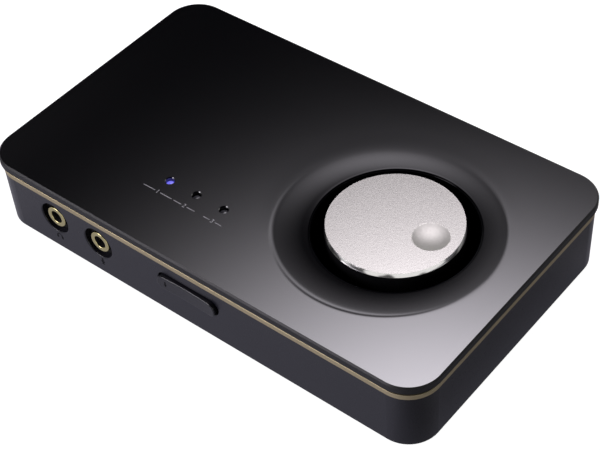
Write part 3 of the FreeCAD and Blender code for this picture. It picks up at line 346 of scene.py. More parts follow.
@dataclass(frozen=True)
class BoardFinish(Finish):
    """Solder mask over copper tracks: a brick net of slightly raised lighter lines."""

    bricks: float = 4.0
    mortar: float = 0.05

    def relief(self, tree: NodeTree, place: NodeSocket) -> NodeSocket:
        """Track pattern, as a height between zero and one."""
        tracks = add_node(tree, "TexBrick", {"Vector": place, "Mortar Size": self.mortar,
                                             "Scale": per_metre(self.grain_mm) / self.bricks})
        return tracks.outputs["Fac"]


KNOB_X = 33.5
KNOB_Y = -0.65
CRATER = 28.85
CRATER_SHIFT = 1.3
COVER_TOP = 23.4
COVER_UNDER = 21.4
TRIM_TOP = 20.2
CORNER_STEPS = 24
POST_X = 60.5
POST_Y = 32.5
PILOT = 1.05

# Spray-painted ABS: a satin black lacquer with fine metal flake, which shows a soft, wide reflection.
# In the crater its reflection is painted with light and shade: weaker towards the knob as painted shade,
# and stronger or weaker round the crater as painted highlight and painted shade.
SATIN_LACQUER = PaintedLightDishFinish("satin_black_lacquer_on_abs", "#030306", "#050508", 0.115, 0.125,
                             mottle_mm=30.0, grain_mm=0.8, relief_mm=0.00003, ior=2.0,
                             centre_x=KNOB_X - CRATER_SHIFT, centre_y=KNOB_Y - CRATER_SHIFT,
                             radius=CRATER, axis=130.0)
# The cover's chamfer and side are masked from the lacquer: bare, fine-grained black ABS.
EDGE_ABS = Finish("bare_black_abs_edge", "#0b0b0d", "#0e0e11", 0.45, 0.55, mottle_mm=8.0,
                  relief_mm=0.004, specular=0.6)
# Lightly spark-eroded mould texture in black ABS: satin, a little lighter, with a fine even grain.
MATT_ABS = Finish("spark_textured_black_abs", "#1b1b25", "#20202a", 0.27, 0.33, mottle_mm=14.0,
                  grain_mm=0.35, relief_mm=0.003)
# The rear plate comes from the same resin with a finer texture.
FINE_ABS = Finish("fine_textured_black_abs", "#28282e", "#2d2d33", 0.28, 0.34, mottle_mm=10.0,
                  relief_mm=0.005)
# The key is moulded in a polished tool, so its edges catch the light.
KEY_ABS = Finish("polished_black_abs", "#27272d", "#2b2b31", 0.18, 0.22, mottle_mm=10.0,
                 relief_mm=0.001)
# Vacuum-metallised trim with a pale gold tint: a soft metal gleam with slight streaks.
PALE_GOLD = Finish("pale_gold_metallised_trim", "#c4b693", "#cfc19e", 0.48, 0.54, mottle_mm=8.0,
                   grain_mm=0.6, relief_mm=0.001, metallic=1.0)
# Bead-blasted, clear-anodised aluminium: an even, sparkling silver grain.
# The beads leave 0.1 mm pits; they are drawn at 0.35 mm so that the grain shows.
BLASTED_ALUMINIUM = Finish("bead_blasted_anodised_aluminium", "#a3a19d", "#b6b4af", 0.24, 0.30,
                           mottle_mm=0.7, grain_mm=0.35, relief_mm=0.0065, metallic=1.0)
# The dimple is milled and lightly blasted: smoother, with a softer gleam.
MILLED_ALUMINIUM = Finish("milled_anodised_aluminium", "#b0aea9", "#c4c2bc", 0.40, 0.48, mottle_mm=0.7,
                          grain_mm=0.35, relief_mm=0.004, metallic=1.0)
# The knob's rim is cut with a diamond tool after anodising: bright, with lathe rings.
# Real rings are 0.03 mm apart; they are drawn at 0.12 mm so that they show.
CUT_ALUMINIUM = TurnedFinish("diamond_cut_aluminium", "#e6e4e2", "#efedeb", 0.10, 0.16, grain_mm=0.12,
                             relief_mm=0.0008, metallic=1.0, centre_x=KNOB_X, centre_y=KNOB_Y)
# Moulded polycarbonate skirt under the cap: smooth deep black.
SKIRT_BLACK = Finish("smooth_black_polycarbonate", "#0c0c0e", "#101013", 0.35, 0.45, mottle_mm=5.0,
                     grain_mm=0.5, ior=1.58)
# Gold flash over nickel on turned brass.
GOLD_PLATE = Finish("gold_plated_brass", "#d2c78e", "#dcd19b", 0.20, 0.28, mottle_mm=3.0,
                    relief_mm=0.001, metallic=1.0)
# Glass-filled nylon of socket bodies: dull black with a faint fibre mottle.
SOCKET_NYLON = Finish("glass_filled_black_nylon", "#141416", "#1b1b1e", 0.5, 0.62, mottle_mm=1.5,
                      grain_mm=0.25, relief_mm=0.004, ior=1.53)
# Phono inserts: self-coloured glossy ABS.
PHONO_WHITE = Finish("white_abs_insert", "#d9d7d0", "#e2e0da", 0.28, 0.36, mottle_mm=3.0)
PHONO_RED = Finish("red_abs_insert", "#a31c1c", "#b22222", 0.28, 0.36, mottle_mm=3.0)
PHONO_ORANGE = Finish("orange_abs_insert", "#c8641a", "#d57022", 0.28, 0.36, mottle_mm=3.0)
# Ground steel shaft.
GROUND_STEEL = TurnedFinish("ground_steel", "#9d9c99", "#a8a7a4", 0.24, 0.32, grain_mm=0.2,
                            relief_mm=0.001, metallic=1.0, centre_x=KNOB_X, centre_y=KNOB_Y)
# Nickel-plated pressed steel of shields and shells.
NICKEL_PLATE = Finish("nickel_plated_steel", "#a9a7a0", "#b6b4ad", 0.22, 0.32, grain_mm=0.4,
                      relief_mm=0.001, metallic=1.0)
# Drawn aluminium can of a capacitor.
DRAWN_ALUMINIUM = Finish("drawn_aluminium_can", "#bcbcba", "#c6c6c4", 0.3, 0.4, mottle_mm=2.0,
                         relief_mm=0.001, metallic=1.0)
# Green solder mask over copper on glass epoxy.
SOLDER_MASK = BoardFinish("green_solder_mask", "#14502c", "#1b5e36", 0.3, 0.4, grain_mm=1.2,
                          relief_mm=0.02, ior=1.55)
# Epoxy chip package.
CHIP_EPOXY = Finish("black_epoxy_package", "#1a1a1a", "#222222", 0.55, 0.68, mottle_mm=1.0,
                    grain_mm=0.15, relief_mm=0.004, ior=1.55)
# White housing of a surface lamp.
LED_WHITE = Finish("white_lamp_housing", "#d8d6cc", "#e2e0d6", 0.4, 0.5, mottle_mm=0.6, grain_mm=0.2)
# Clear acrylic light pipes: one lit blue-violet, two dark with smoky depths.
PIPE_LIT = LampFinish("lit_acrylic_pipe", "#b9b9ff", "#a8a8f4", 0.15, 0.22, mottle_mm=0.8, grain_mm=0.4,
                      relief_mm=0.001, ior=1.49, glow="#6a66e0", glow_strength=0.55, clear=0.3)
PIPE_DARK = LampFinish("dark_acrylic_pipe", "#4a4a50", "#55555b", 0.15, 0.22, mottle_mm=0.8,
                       grain_mm=0.4, relief_mm=0.001, ior=1.49, clear=0.2)
# Moulded silicone rubber foot.
FOOT_RUBBER = Finish("black_silicone_rubber", "#1d1d1e", "#242425", 0.7, 0.82, mottle_mm=2.0,
                     grain_mm=0.25, relief_mm=0.006, ior=1.41)
# Black zinc-plated screw steel.
SCREW_STEEL = Finish("black_zinc_screw_steel", "#4a4a4c", "#565658", 0.3, 0.42, mottle_mm=1.0,
                     grain_mm=0.2, metallic=1.0)
# Screen-printed legend: light grey ink, thin and slightly uneven.
LEGEND_INK = Finish("light_grey_screen_ink", "#b9b9bd", "#cacacd", 0.5, 0.6, mottle_mm=0.7,
                    grain_mm=0.2)
# Pad-printed dark sign on the front.
DARK_INK = Finish("black_pad_ink", "#070708", "#0a0a0b", 0.55, 0.65, mottle_mm=0.7, grain_mm=0.2,
                  specular=0.15)

NODE_FINISHES: dict[str, Finish] = {
    "cover_black": SATIN_LACQUER, "case_black": MATT_ABS, "panel_black": FINE_ABS, "trim_gold": PALE_GOLD,
    "knob_aluminium": BLASTED_ALUMINIUM, "knob_black": SKIRT_BLACK, "key_black": KEY_ABS,
    "gold_plate": GOLD_PLATE, "socket_black": SOCKET_NYLON, "phono_white": PHONO_WHITE,
    "phono_red": PHONO_RED, "phono_orange": PHONO_ORANGE, "shaft_steel": GROUND_STEEL,
    "can_steel": NICKEL_PLATE, "can_aluminium": DRAWN_ALUMINIUM, "board_green": SOLDER_MASK,
    "chip_black": CHIP_EPOXY, "led_white": LED_WHITE, "pipe_lit": PIPE_LIT, "pipe_dark": PIPE_DARK,
    "foot_rubber": FOOT_RUBBER, "screw_steel": SCREW_STEEL,
}
MATERIALS: dict[str, Material] = {}


def dressed(finish: Finish) -> Material:
    """The one material of a finish, made on first use.

    Args:
        finish: the finish.

    Returns:
        Its material.
    """
    if finish.name not in MATERIALS:
        MATERIALS[finish.name] = finish.material()
    return MATERIALS[finish.name]


def finish_piece(name: str, bm: BMesh, finishes: Sequence[Finish], body: Body,
                 nodes: Iterable[str] = (), sharp_degrees: float = 35.0) -> None:
    """Turn a bmesh in millimetres into a piece that rides on a body.

    Args:
        name: the piece's name.
        bm: its mesh, freed here.
        finishes: one finish for each material number in the mesh.
        body: the body it rides on.
        nodes: CAD nodes that it stands for.
        sharp_degrees: edges that turn more than this stay sharp.
    """
    bmesh.ops.remove_doubles(bm, verts=bm.verts, dist=WELD)
    bmesh.ops.recalc_face_normals(bm, faces=bm.faces)
    bmesh.ops.scale(bm, vec=(MM, MM, MM), verts=bm.verts)
    mesh = bpy.data.meshes.new(name)
    bm.to_mesh(mesh)
    bm.free()
    mesh.shade_smooth()
    mesh.set_sharp_from_angle(angle=math.radians(sharp_degrees))
    piece = bpy.data.objects.new(name, mesh)
    bpy.context.scene.collection.objects.link(piece)
    for finish in finishes:
        mesh.materials.append(dressed(finish))
    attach(piece, body.value)
    if nodes:
        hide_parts(*nodes)
    LOG.info("%s: %d faces, on %s", name, len(mesh.polygons), body.value)


def four_corners(x: float, y: float) -> list[tuple[float, float]]:
    """The four places at plus or minus x and y."""
    return [(side_x * x, side_y * y) for side_x in (-1, 1) for side_y in (-1, 1)]


def join(bm: BMesh, other: BMesh) -> list[BMVert]:
    """Move a second mesh into the first.

    Args:
        bm: the mesh that grows.
        other: the mesh that goes in, freed here.

    Returns:
        The vertices that came in.
    """
    before = set(bm.verts)
    spare = bpy.data.meshes.new("spare")
    other.to_mesh(spare)
    other.free()
    bm.from_mesh(spare)
    bpy.data.meshes.remove(spare)
    return [v for v in bm.verts if v not in before]


def chain(bm: BMesh, points: Sequence[tuple[float, float]], closed: bool = False) -> list[BMEdge]:
    """Lay a profile in the XZ plane, as radius and height.

    Args:
        bm: the mesh.
        points: radius and height of each corner.
        closed: join the last corner to the first.

    Returns:
        The profile's edges.
    """
    verts = [bm.verts.new((r, 0.0, z)) for r, z in points]
    pairs = list(zip(verts, verts[1:]))
    if closed:
        pairs.append((verts[-1], verts[0]))
    return [bm.edges.new(pair) for pair in pairs]


def spin_profile(bm: BMesh, points: Sequence[tuple[float, float]], steps: int,
                 closed: bool = False) -> list[BMVert]:
    """Turn a profile about the Z axis.

    Args:
        bm: the mesh.
        points: radius and height of each corner.
        steps: number of steps round the turn.
        closed: the profile is a closed loop.

    Returns:
        The vertices of the turned shape.
    """
    before = set(bm.verts)
    edges = chain(bm, points, closed)
    verts = list({v for e in edges for v in e.verts})
    bmesh.ops.spin(bm, geom=verts + edges, cent=(0, 0, 0), axis=UP, angle=2 * math.pi, steps=steps,
                   use_merge=True)
    turned = [v for v in bm.verts if v not in before]
    bmesh.ops.remove_doubles(bm, verts=turned, dist=WELD)
    return [v for v in bm.verts if v not in before]


def ring_edges(bm: BMesh, radius: float, height: float) -> list[BMEdge]:
    """Edges of one ring about the Z axis.

    Args:
        bm: the mesh.
        radius: the ring's radius.
        height: its height.

    Returns:
        The ring's edges.
    """
    def on_ring(v: BMVert) -> bool:
        """True for a vertex of the ring."""
        return abs(v.co.z - height) < SLACK and abs(v.co.xy.length - radius) < SLACK
    return [e for e in bm.edges if all(on_ring(v) for v in e.verts)]


def round_ring(bm: BMesh, radius: float, height: float, fillet: float, turn: float,
               segments: int) -> None:
    """Round a ring edge with a fillet.

    Args:
        bm: the mesh.
        radius: the ring's radius.
        height: its height.
        fillet: the fillet's radius.
        turn: angle between the two faces' directions, in radians.
        segments: steps along the fillet.
    """
    bmesh.ops.bevel(bm, geom=ring_edges(bm, radius, height), offset=fillet * math.tan(turn / 2),
                    offset_type="OFFSET", affect="EDGES", segments=segments, profile=0.5, material=-1)


def rounded_loop(bm: BMesh, half_x: float, half_y: float, radius: float, height: float,
                 segments: int) -> list[BMEdge]:
    """A rounded rectangle's outline about the Z axis.

    Args:
        bm: the mesh.
        half_x: half its length.
        half_y: half its depth.
        radius: corner radius.
        height: its height.
        segments: steps round each corner.

    Returns:
        The outline's edges.
    """
    before = set(bm.edges)
    corners = bmesh.ops.create_grid(bm, x_segments=1, y_segments=1, size=1.0)["verts"]
    bmesh.ops.scale(bm, vec=(half_x, half_y, 1.0), verts=corners)
    bmesh.ops.translate(bm, vec=(0.0, 0.0, height), verts=corners)
    bmesh.ops.bevel(bm, geom=corners, offset=radius, offset_type="OFFSET", affect="VERTICES",
                    segments=segments, profile=0.5, material=-1)
    loop = [e for e in bm.edges if e not in before]
    face = loop[0].link_faces[0]
    bmesh.ops.delete(bm, geom=[face], context="FACES_ONLY")
    return loop


def circle(bm: BMesh, centre: Sequence[float], radius: float,
           steps: int) -> tuple[list[BMVert], list[BMEdge]]:
    """A level circle.

    Args:
        bm: the mesh.
        centre: its centre.
        radius: its radius.
        steps: number of corners.

    Returns:
        Its vertices and its edges.
    """
    verts = bmesh.ops.create_circle(bm, cap_ends=False, radius=radius, segments=steps)["verts"]
    bmesh.ops.translate(bm, vec=centre, verts=verts)
    return verts, list({e for v in verts for e in v.link_edges})


def eased(part: float) -> float:
    """Smooth step from zero to one as part goes from zero to one."""
    part = min(1.0, max(0.0, part))
    return part * part * (3.0 - 2.0 * part)


def wall_between(bm: BMesh, loops: Sequence[list[BMEdge]]) -> None:
    """Bridge each outline to the next one."""
    for lower, upper in zip(loops, loops[1:]):
        bmesh.ops.bridge_loops(bm, edges=lower + upper)


@dataclass
class TopCover:
    """Lacquered cover: a rounded plate with a very flat crater, the knob's well and three lamp holes.

    The crater's axis stands off the knob's axis by shift, towards the front left. Its floor falls ever
    more steeply from the rim to the well. The rim is crisp at the front and the right and soft at the
    back, and a fine step with a narrow ledge follows it at the front left. Slopes and sides are in degrees.
    """

    half_x: float = 69.0
    half_y: float = 41.0
    corner: float = 9.2
    corner_steps: int = CORNER_STEPS
    top: float = COVER_TOP
    under: float = COVER_UNDER
    chamfer: float = 0.42
    reveal: float = 1.4
    lip: float = 3.4
    foot: float = TRIM_TOP
    ring: float = 0.25
    crater: float = CRATER
    shift: float = CRATER_SHIFT
    blend: float = 5.4
    rim_slope: float = 2.8
    lip_slope: float = 4.0
    crisp: float = 0.3
    soft: float = 1.2
    soft_side: float = 120.0
    step_height: float = 0.05
    step_run: float = 0.7
    step_ledge: float = 1.3
    step_side: float = 262.0
    well: float = 20.5
    lip_fillet: float = 0.8
    lip_steps: int = 8
    well_floor: float = 17.0
    hub_hole: float = 4.1
    well_under: float = 15.6
    boss: float = 21.9
    rings: int = 54
    steps: int = 192
    lamp_x: float = -22.3
    lamp_y: float = -20.3
    lamp_pitch: float = 8.96
    lamp_count: int = 3
    lamp_radius: float = 1.15
    lamp_chamfer: float = 0.2
    lamp_steps: int = 40
    post_x: float = POST_X
    post_y: float = POST_Y
    post: float = 2.8
    post_foot: float = 8.0
    pilot: float = PILOT
    pilot_depth: float = 7.0
    post_steps: int = 32

    def outline(self, bm: BMesh, inset: float, height: float) -> list[BMEdge]:
        """The cover's outline, drawn in by an inset."""
        return rounded_loop(bm, self.half_x - inset, self.half_y - inset, self.corner - inset, height,
                            self.corner_steps)

    def sink(self, x: float, y: float) -> float:
        """How far the crater's surface lies below the plate.

        Args:
            x: place from the knob's axis.
            y: place from the knob's axis.

        Returns:
            The depth there.
        """
        inside = self.crater - math.hypot(x + self.shift, y + self.shift)
        side = math.atan2(y + self.shift, x + self.shift)
        at_back = max(0.0, math.cos(side - math.radians(self.soft_side)))
        at_step = max(0.0, math.cos(side - math.radians(self.step_side)))
        width = self.crisp + (self.soft - self.crisp) * at_back
        rim = math.tan(math.radians(self.rim_slope))
        bend = (math.tan(math.radians(self.lip_slope)) - rim) / (self.crater - self.well)
        past = inside - self.step_ledge * at_step
        fall = rim * width * math.log1p(math.exp(past / width)) + bend * max(0.0, past) ** 2 / 2
        return fall + self.step_height * at_step * eased(inside / self.step_run)

    def dish(self, bm: BMesh) -> list[list[BMEdge]]:
        """Lay the crater, the lip and the well as rings about the knob's axis.

        Args:
            bm: the mesh.

        Returns:
            The rings' edges, from the plate inwards and round to the plate's underside.
        """
        start = math.radians(self.lip_slope)
        mouth = self.well + self.lip_fillet * (1.0 - math.sin(start))
        loops = []
        for number in range(self.rings + 1):
            inside = -self.blend + (self.crater - mouth + self.blend) * number / self.rings
            off = -self.shift * min(1.0, 1.0 - inside / (self.crater - mouth))
            verts, edges = circle(bm, (off, off, self.top), self.crater - inside, self.steps)
            loops.append(edges)
            if number == 0:
                continue
            for v in verts:
                v.co.z -= self.sink(v.co.x, v.co.y)
        for number in range(1, self.lip_steps + 1):
            turn = start + (math.pi / 2 - start) * number / self.lip_steps
            radius = self.well + self.lip_fillet * (1.0 - math.sin(turn))
            drop = self.lip_fillet * (math.cos(start) - math.cos(turn))
            verts, edges = circle(bm, (0.0, 0.0, self.top - drop), radius, self.steps)
            for v in verts:
                v.co.z -= self.sink(v.co.x * mouth / radius, v.co.y * mouth / radius)
            loops.append(edges)
        for radius, height in (
            (self.well, self.well_floor), (self.hub_hole, self.well_floor),
            (self.hub_hole, self.well_under), (self.boss, self.well_under), (self.boss, self.under),
        ):
            loops.append(circle(bm, (0.0, 0.0, height), radius, self.steps)[1])
        wall_between(bm, loops)
        return loops

    def posts(self, bm: BMesh) -> None:
        """Stand the four screw posts under the plate.

        Args:
            bm: the mesh.
        """
        end = self.post_foot + self.pilot_depth
        for x, y in four_corners(self.post_x, self.post_y):
            verts = spin_profile(bm, [
                (self.post, self.under), (self.post, self.post_foot), (self.pilot, self.post_foot),
                (self.pilot, end), (0.0, end),
            ], self.post_steps)
            bmesh.ops.translate(bm, vec=(x, y, 0.0), verts=verts)

    def build(self) -> None:
        """Build the piece that stands for the CAD cover."""
        bm = bmesh.new()
        rings = self.dish(bm)
        bmesh.ops.translate(bm, vec=(KNOB_X, KNOB_Y, 0.0), verts=bm.verts)
        face = self.outline(bm, self.chamfer + self.ring, self.top)
        loops = [self.outline(bm, self.chamfer, self.top)]
        wall_between(bm, [face] + loops)
        lacquered = set(bm.faces)
        for inset, height in (
            (0.0, self.top - self.chamfer), (0.0, self.under), (self.reveal, self.under),
            (self.reveal, self.foot), (self.lip, self.foot), (self.lip, self.under),
        ):
            loops.append(self.outline(bm, inset, height))
        wall_between(bm, loops)
        for f in bm.faces:
            if f not in lacquered:
                f.material_index = 1
        tops = []
        bottoms = []
        for number in range(self.lamp_count):
            place = Vector((self.lamp_x + number * self.lamp_pitch, self.lamp_y, 0.0))
            wide = self.lamp_radius + self.lamp_chamfer
            hole = [circle(bm, place + UP * height, radius, self.lamp_steps)[1] for radius, height in (
                (wide + self.ring, self.top), (wide, self.top),
                (self.lamp_radius, self.top - self.lamp_chamfer), (self.lamp_radius, self.under),
            )]
            wall_between(bm, hole)
            tops += hole[0]
            bottoms += hole[-1]
        bmesh.ops.triangle_fill(bm, edges=face + rings[0] + tops, use_beauty=True, normal=UP)
        bmesh.ops.triangle_fill(bm, edges=loops[-1] + rings[-1] + bottoms, use_beauty=True, normal=-UP)
        self.posts(bm)
        finish_piece("cover_shell", bm, [SATIN_LACQUER, EDGE_ABS], Body.CASE,
                     ["top_cover"])


@dataclass
class TrimRing:
    """Gold line between the cover and the case, with softly broken edges."""

    half_x: float = 68.45
    half_y: float = 40.45
    corner: float = 8.65
    corner_steps: int = CORNER_STEPS
    top: float = TRIM_TOP
    bottom: float = 18.75
    tongue: float = 17.75
    tongue_inset: float = 2.25
    inner: float = 3.45
    edge: float = 0.06

    def build(self) -> None:
        """Build the piece that stands for the CAD trim."""
        bm = bmesh.new()
        loops = []
        for inset, height in (
            (self.inner, self.top), (self.edge, self.top), (0.0, self.top - self.edge),
            (0.0, self.bottom + self.edge), (self.edge, self.bottom), (self.tongue_inset, self.bottom),
            (self.tongue_inset, self.tongue), (self.inner, self.tongue),
        ):
            loops.append(rounded_loop(bm, self.half_x - inset, self.half_y - inset, self.corner - inset,
                                      height, self.corner_steps))
        wall_between(bm, loops + loops[:1])
        finish_piece("trim_line", bm, [PALE_GOLD], Body.CASE, ["trim_ring"])


@dataclass
class Knob:
    """Aluminium cap with a cut rim and a finger dimple."""

    top: float = 25.0
    face: float = 17.0
    edge: float = 17.55
    edge_z: float = 24.1
    seat: float = 17.1
    seat_z: float = 23.6
    dimple_x: float = 9.8
    dimple_y: float = 1.0
    dimple: float = 4.6
    dimple_depth: float = 0.6
    dimple_round: float = 0.8
    dimple_round_steps: int = 4
    dimple_rings: int = 14
    dimple_steps: int = 72
    rim_round: float = 0.12
    rim_turn: float = 60.0
    rim_steps: int = 3
    ring: float = 0.2
    steps: int = 160

    def build(self) -> None:
        """Build the piece that stands for the CAD cap."""
        bm = bmesh.new()
        spin_profile(bm, [
            (0.0, self.seat_z), (self.seat, self.seat_z), (self.edge, self.edge_z), (self.face, self.top),
            (self.face - self.ring, self.top),
        ], self.steps)
        rim = ring_edges(bm, self.face - self.ring, self.top)
        for f in bm.faces:
            f.material_index = 1
        round_ring(bm, self.edge, self.edge_z, self.rim_round, math.radians(self.rim_turn),
                   self.rim_steps)
        bowl = bmesh.new()
        radius = (self.dimple ** 2 + self.dimple_depth ** 2) / (2 * self.dimple_depth)
        low = self.top - self.dimple_depth
        sweep = math.asin(self.dimple / radius)
        turns = [sweep * i / self.dimple_rings for i in range(self.dimple_rings + 1)]
        arc = [(radius * math.sin(turn), low + radius - radius * math.cos(turn)) for turn in turns]
        spin_profile(bowl, arc + [(self.dimple + self.ring, self.top)], self.dimple_steps)
        round_ring(bowl, self.dimple, self.top, self.dimple_round, sweep, self.dimple_round_steps)
        bmesh.ops.translate(bowl, vec=(self.dimple_x, self.dimple_y, 0.0), verts=bowl.verts)
        inside = set(join(bm, bowl))
        mouth = [e for e in bm.edges if e.is_boundary and e.verts[0] in inside]
        bmesh.ops.triangle_fill(bm, edges=rim + mouth, use_beauty=True, normal=UP)
        middle = Vector((self.dimple_x, self.dimple_y))
        for f in bm.faces:
            centre = f.calc_center_median()
            if (centre.xy - middle).length < self.dimple + self.ring and centre.z > low - self.ring:
                f.material_index = 2
            elif centre.z > self.top - self.ring and centre.xy.length < self.face - self.ring / 2:
                f.material_index = 0
        bmesh.ops.translate(bm, vec=(KNOB_X, KNOB_Y, 0.0), verts=bm.verts)
        finishes = [BLASTED_ALUMINIUM, CUT_ALUMINIUM, MILLED_ALUMINIUM]
        finish_piece("knob_disc", bm, finishes, Body.KNOB, ["knob_cap"],
                     sharp_degrees=20.0)


def lay(bm: BMesh, lie: Lie, place: Sequence[float]) -> None:
    """Turn a whole mesh from upright to the way it lies, and move its origin to a place."""
    bmesh.ops.transform(bm, matrix=Matrix.Translation(place) @ lie.value, verts=bm.verts)


def add_bar(bm: BMesh, low: Sequence[float], high: Sequence[float]) -> list[BMVert]:
    """Add a straight bar.

    Args:
        bm: the mesh.
        low: its lowest corner.
        high: its highest corner.

    Returns:
        Its vertices.
    """
    verts = bmesh.ops.create_cube(bm, size=1.0)["verts"]
    bmesh.ops.scale(bm, vec=Vector(high) - Vector(low), verts=verts)
    bmesh.ops.translate(bm, vec=(Vector(high) + Vector(low)) / 2, verts=verts)
    return verts


def add_arch(bm: BMesh, radius: float, line: float, thick: float, start: float) -> None:
    """Add a flat half ring about the Z axis.

    Args:
        bm: the mesh.
        radius: radius of the line's middle.
        line: width of the line.
        thick: its height.
        start: where it starts, in degrees.
    """
    low = radius - line / 2
    high = radius + line / 2
    edges = chain(bm, [(low, 0.0), (high, 0.0), (high, thick), (low, thick)], closed=True)
    corners = list({v for e in edges for v in e.verts})
    bmesh.ops.rotate(bm, matrix=Matrix.Rotation(math.radians(start), 3, "Z"), verts=corners)
    ends = edges + [g for g in bmesh.ops.spin(
        bm, geom=corners + edges, cent=(0, 0, 0), axis=UP, angle=math.pi, steps=ARCH_STEPS,
    )["geom_last"] if isinstance(g, BMEdge)]
    bmesh.ops.holes_fill(bm, edges=ends, sides=4)


def wall_y(node: str, x: float, z: float) -> float:
    """The y at which a CAD node's front face stands, in millimetres."""
    start = Vector((x, FAR_FRONT, z)) * MM
    return frame["nodes"][node].ray_cast(start, Vector((0.0, 1.0, 0.0)))[1].y / MM


@dataclass
class JackBarrel:
    """Gold-plated sleeve of a 3.5 mm socket, with a rolled lip and spring contacts in its bore, which is
    lined black as painted shade.
    """

    node: str
    lie: Lie
    outer: float = 3.1
    bore: float = 1.8
    lip: float = 0.3
    lip_steps: int = 5
    flare: float = 0.25
    flare_steps: int = 4
    springs: int = 3
    spring_width: float = 0.7
    spring_thick: float = 0.12
    spring_foot: float = 0.2
    spring_length: float = 1.8
    spring_turn: float = 0.25
    steps: int = 64

    def build(self) -> None:
        """Build the piece that stands for the CAD sleeve."""
        low, high = (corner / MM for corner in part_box(self.node))
        length = high.y - low.y
        bm = bmesh.new()
        spin_profile(bm, [(self.bore, 0.0), (self.outer, 0.0), (self.outer, length), (self.bore, length)],
                     self.steps, closed=True)
        round_ring(bm, self.outer, length, self.lip, math.pi / 2, self.lip_steps)
        round_ring(bm, self.bore, length, self.flare, math.pi / 2, self.flare_steps)
        # The bore's inner faces take the black nylon finish: a dark lining painted in for the shade inside
        # the bore.
        for f in bm.faces:
            if all(abs(v.co.xy.length - self.bore) < SLACK for v in f.verts):
                f.material_index = 1
        for number in range(self.springs):
            verts = add_bar(bm, (self.bore - self.spring_thick, -self.spring_width / 2, self.spring_foot),
                            (self.bore, self.spring_width / 2, self.spring_length))
            turn = Matrix.Rotation(2 * math.pi * (number + self.spring_turn) / self.springs, 3, "Z")
            bmesh.ops.rotate(bm, matrix=turn, verts=verts)
        foot = high.y if self.lie is Lie.TO_FRONT else low.y
        lay(bm, self.lie, ((low.x + high.x) / 2, foot, (low.z + high.z) / 2))
        finish_piece(self.node + "_sleeve", bm, [GOLD_PLATE, SOCKET_NYLON], Body.CASE,
                     [self.node])


@dataclass
class LightPipe:
    """Clear pipe under a lamp hole, with a domed end and a flange below the plate."""

    node: str
    finish: Finish
    slot: str
    radius: float = 1.1
    flange: float = 2.0
    flange_low: float = 20.2
    flange_high: float = COVER_UNDER
    rise: float = 0.4
    dome_steps: int = 8
    steps: int = 40

    def build(self) -> None:
        """Build the piece that stands for the CAD pipe."""
        low, high = (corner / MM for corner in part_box(self.node))
        shoulder = high.z - self.rise
        points = [
            (0.0, low.z), (self.radius, low.z), (self.radius, self.flange_low),
            (self.flange, self.flange_low), (self.flange, self.flange_high),
            (self.radius, self.flange_high),
        ]
        for step in range(self.dome_steps + 1):
            turn = math.pi / 2 * step / self.dome_steps
            points.append((self.radius * math.cos(turn), shoulder + self.rise * math.sin(turn)))
        bm = bmesh.new()
        spin_profile(bm, points, self.steps)
        bmesh.ops.translate(bm, vec=((low.x + high.x) / 2, (low.y + high.y) / 2, 0.0), verts=bm.verts)
        finish_piece(self.node + "_lens", bm, [self.finish], Body.CASE, [self.node])


@dataclass
class Legends:
    """Numbers of the three lamps, each between two fine lines, in front of the lamp holes."""

    spans: tuple[tuple[float, float], ...] = ((-26.95, -17.5), (-16.85, -9.85), (-7.0, -1.2))
    y: float = -25.05
    height: float = 1.3
    digit_share: float = 0.7
    plate: float = COVER_TOP
    ink: float = 0.02
    line: float = 0.2
    gap: float = 0.9

    def numeral(self, bm: BMesh, text: str, place: Sequence[float]) -> None:
        """Add one number.

        Args:
            bm: the mesh.
            text: the number.
            place: its middle, at the plate.
        """
        data = bpy.data.curves.new("numeral", "FONT")
        data.body = text
        data.size = self.height / self.digit_share
        data.align_x = "CENTER"
        data.align_y = "CENTER"
        data.extrude = self.ink / 2
        holder = bpy.data.objects.new("numeral", data)
        bpy.context.scene.collection.objects.link(holder)
        seen = holder.evaluated_get(bpy.context.evaluated_depsgraph_get())
        mesh = bpy.data.meshes.new_from_object(seen)
        before = set(bm.verts)
        bm.from_mesh(mesh)
        bmesh.ops.translate(bm, vec=place, verts=[v for v in bm.verts if v not in before])
        bpy.data.objects.remove(holder)
        bpy.data.curves.remove(data)
        bpy.data.meshes.remove(mesh)

    def build(self) -> None:
        """Build the print, as one piece."""
        bm = bmesh.new()
        for number, (left, right) in enumerate(self.spans, start=1):
            middle = (left + right) / 2
            self.numeral(bm, str(number), (middle, self.y, self.plate + self.ink / 2))
            for start, end in ((left, middle - self.gap), (middle + self.gap, right)):
                add_bar(bm, (start, self.y - self.line / 2, self.plate),
                        (end, self.y + self.line / 2, self.plate + self.ink))
        finish_piece("lamp_legends", bm, [LEGEND_INK], Body.CASE)


@dataclass
class Sign:
    """A dark printed sign on the front: a headset or a microphone."""

    name: str
    node: str
    body: Body
    slot: str
    x: float
    z: float
    size: float
    microphone: bool
    ink: float = 0.02
    lines: float = 7.0
    capsule_low: float = -0.2
    yoke: float = 0.5
    base: float = 0.4
    band: float = 0.8
    cup_top: float = 0.1

    def build(self) -> None:
        """Build the print."""
        line = self.size / self.lines
        half = self.size / 2
        bm = bmesh.new()
        if self.microphone:
            base = self.base * half
            add_bar(bm, (-line, self.capsule_low * half, 0.0), (line, half, self.ink))
            add_arch(bm, self.yoke * half, line, self.ink, 180.0)
            add_bar(bm, (-line / 2, -half, 0.0), (line / 2, -self.yoke * half, self.ink))
            add_bar(bm, (-base, -half - line / 2, 0.0), (base, -half + line / 2, self.ink))
        else:
            band = self.band * half
            add_arch(bm, band, line, self.ink, 0.0)
            for side in (-band, band):
                add_bar(bm, (side - line, -band, 0.0), (side + line, self.cup_top * half, self.ink))
        lay(bm, Lie.TO_FRONT, (self.x, wall_y(self.node, self.x, self.z), self.z))
        finish_piece(self.name, bm, [DARK_INK], self.body)


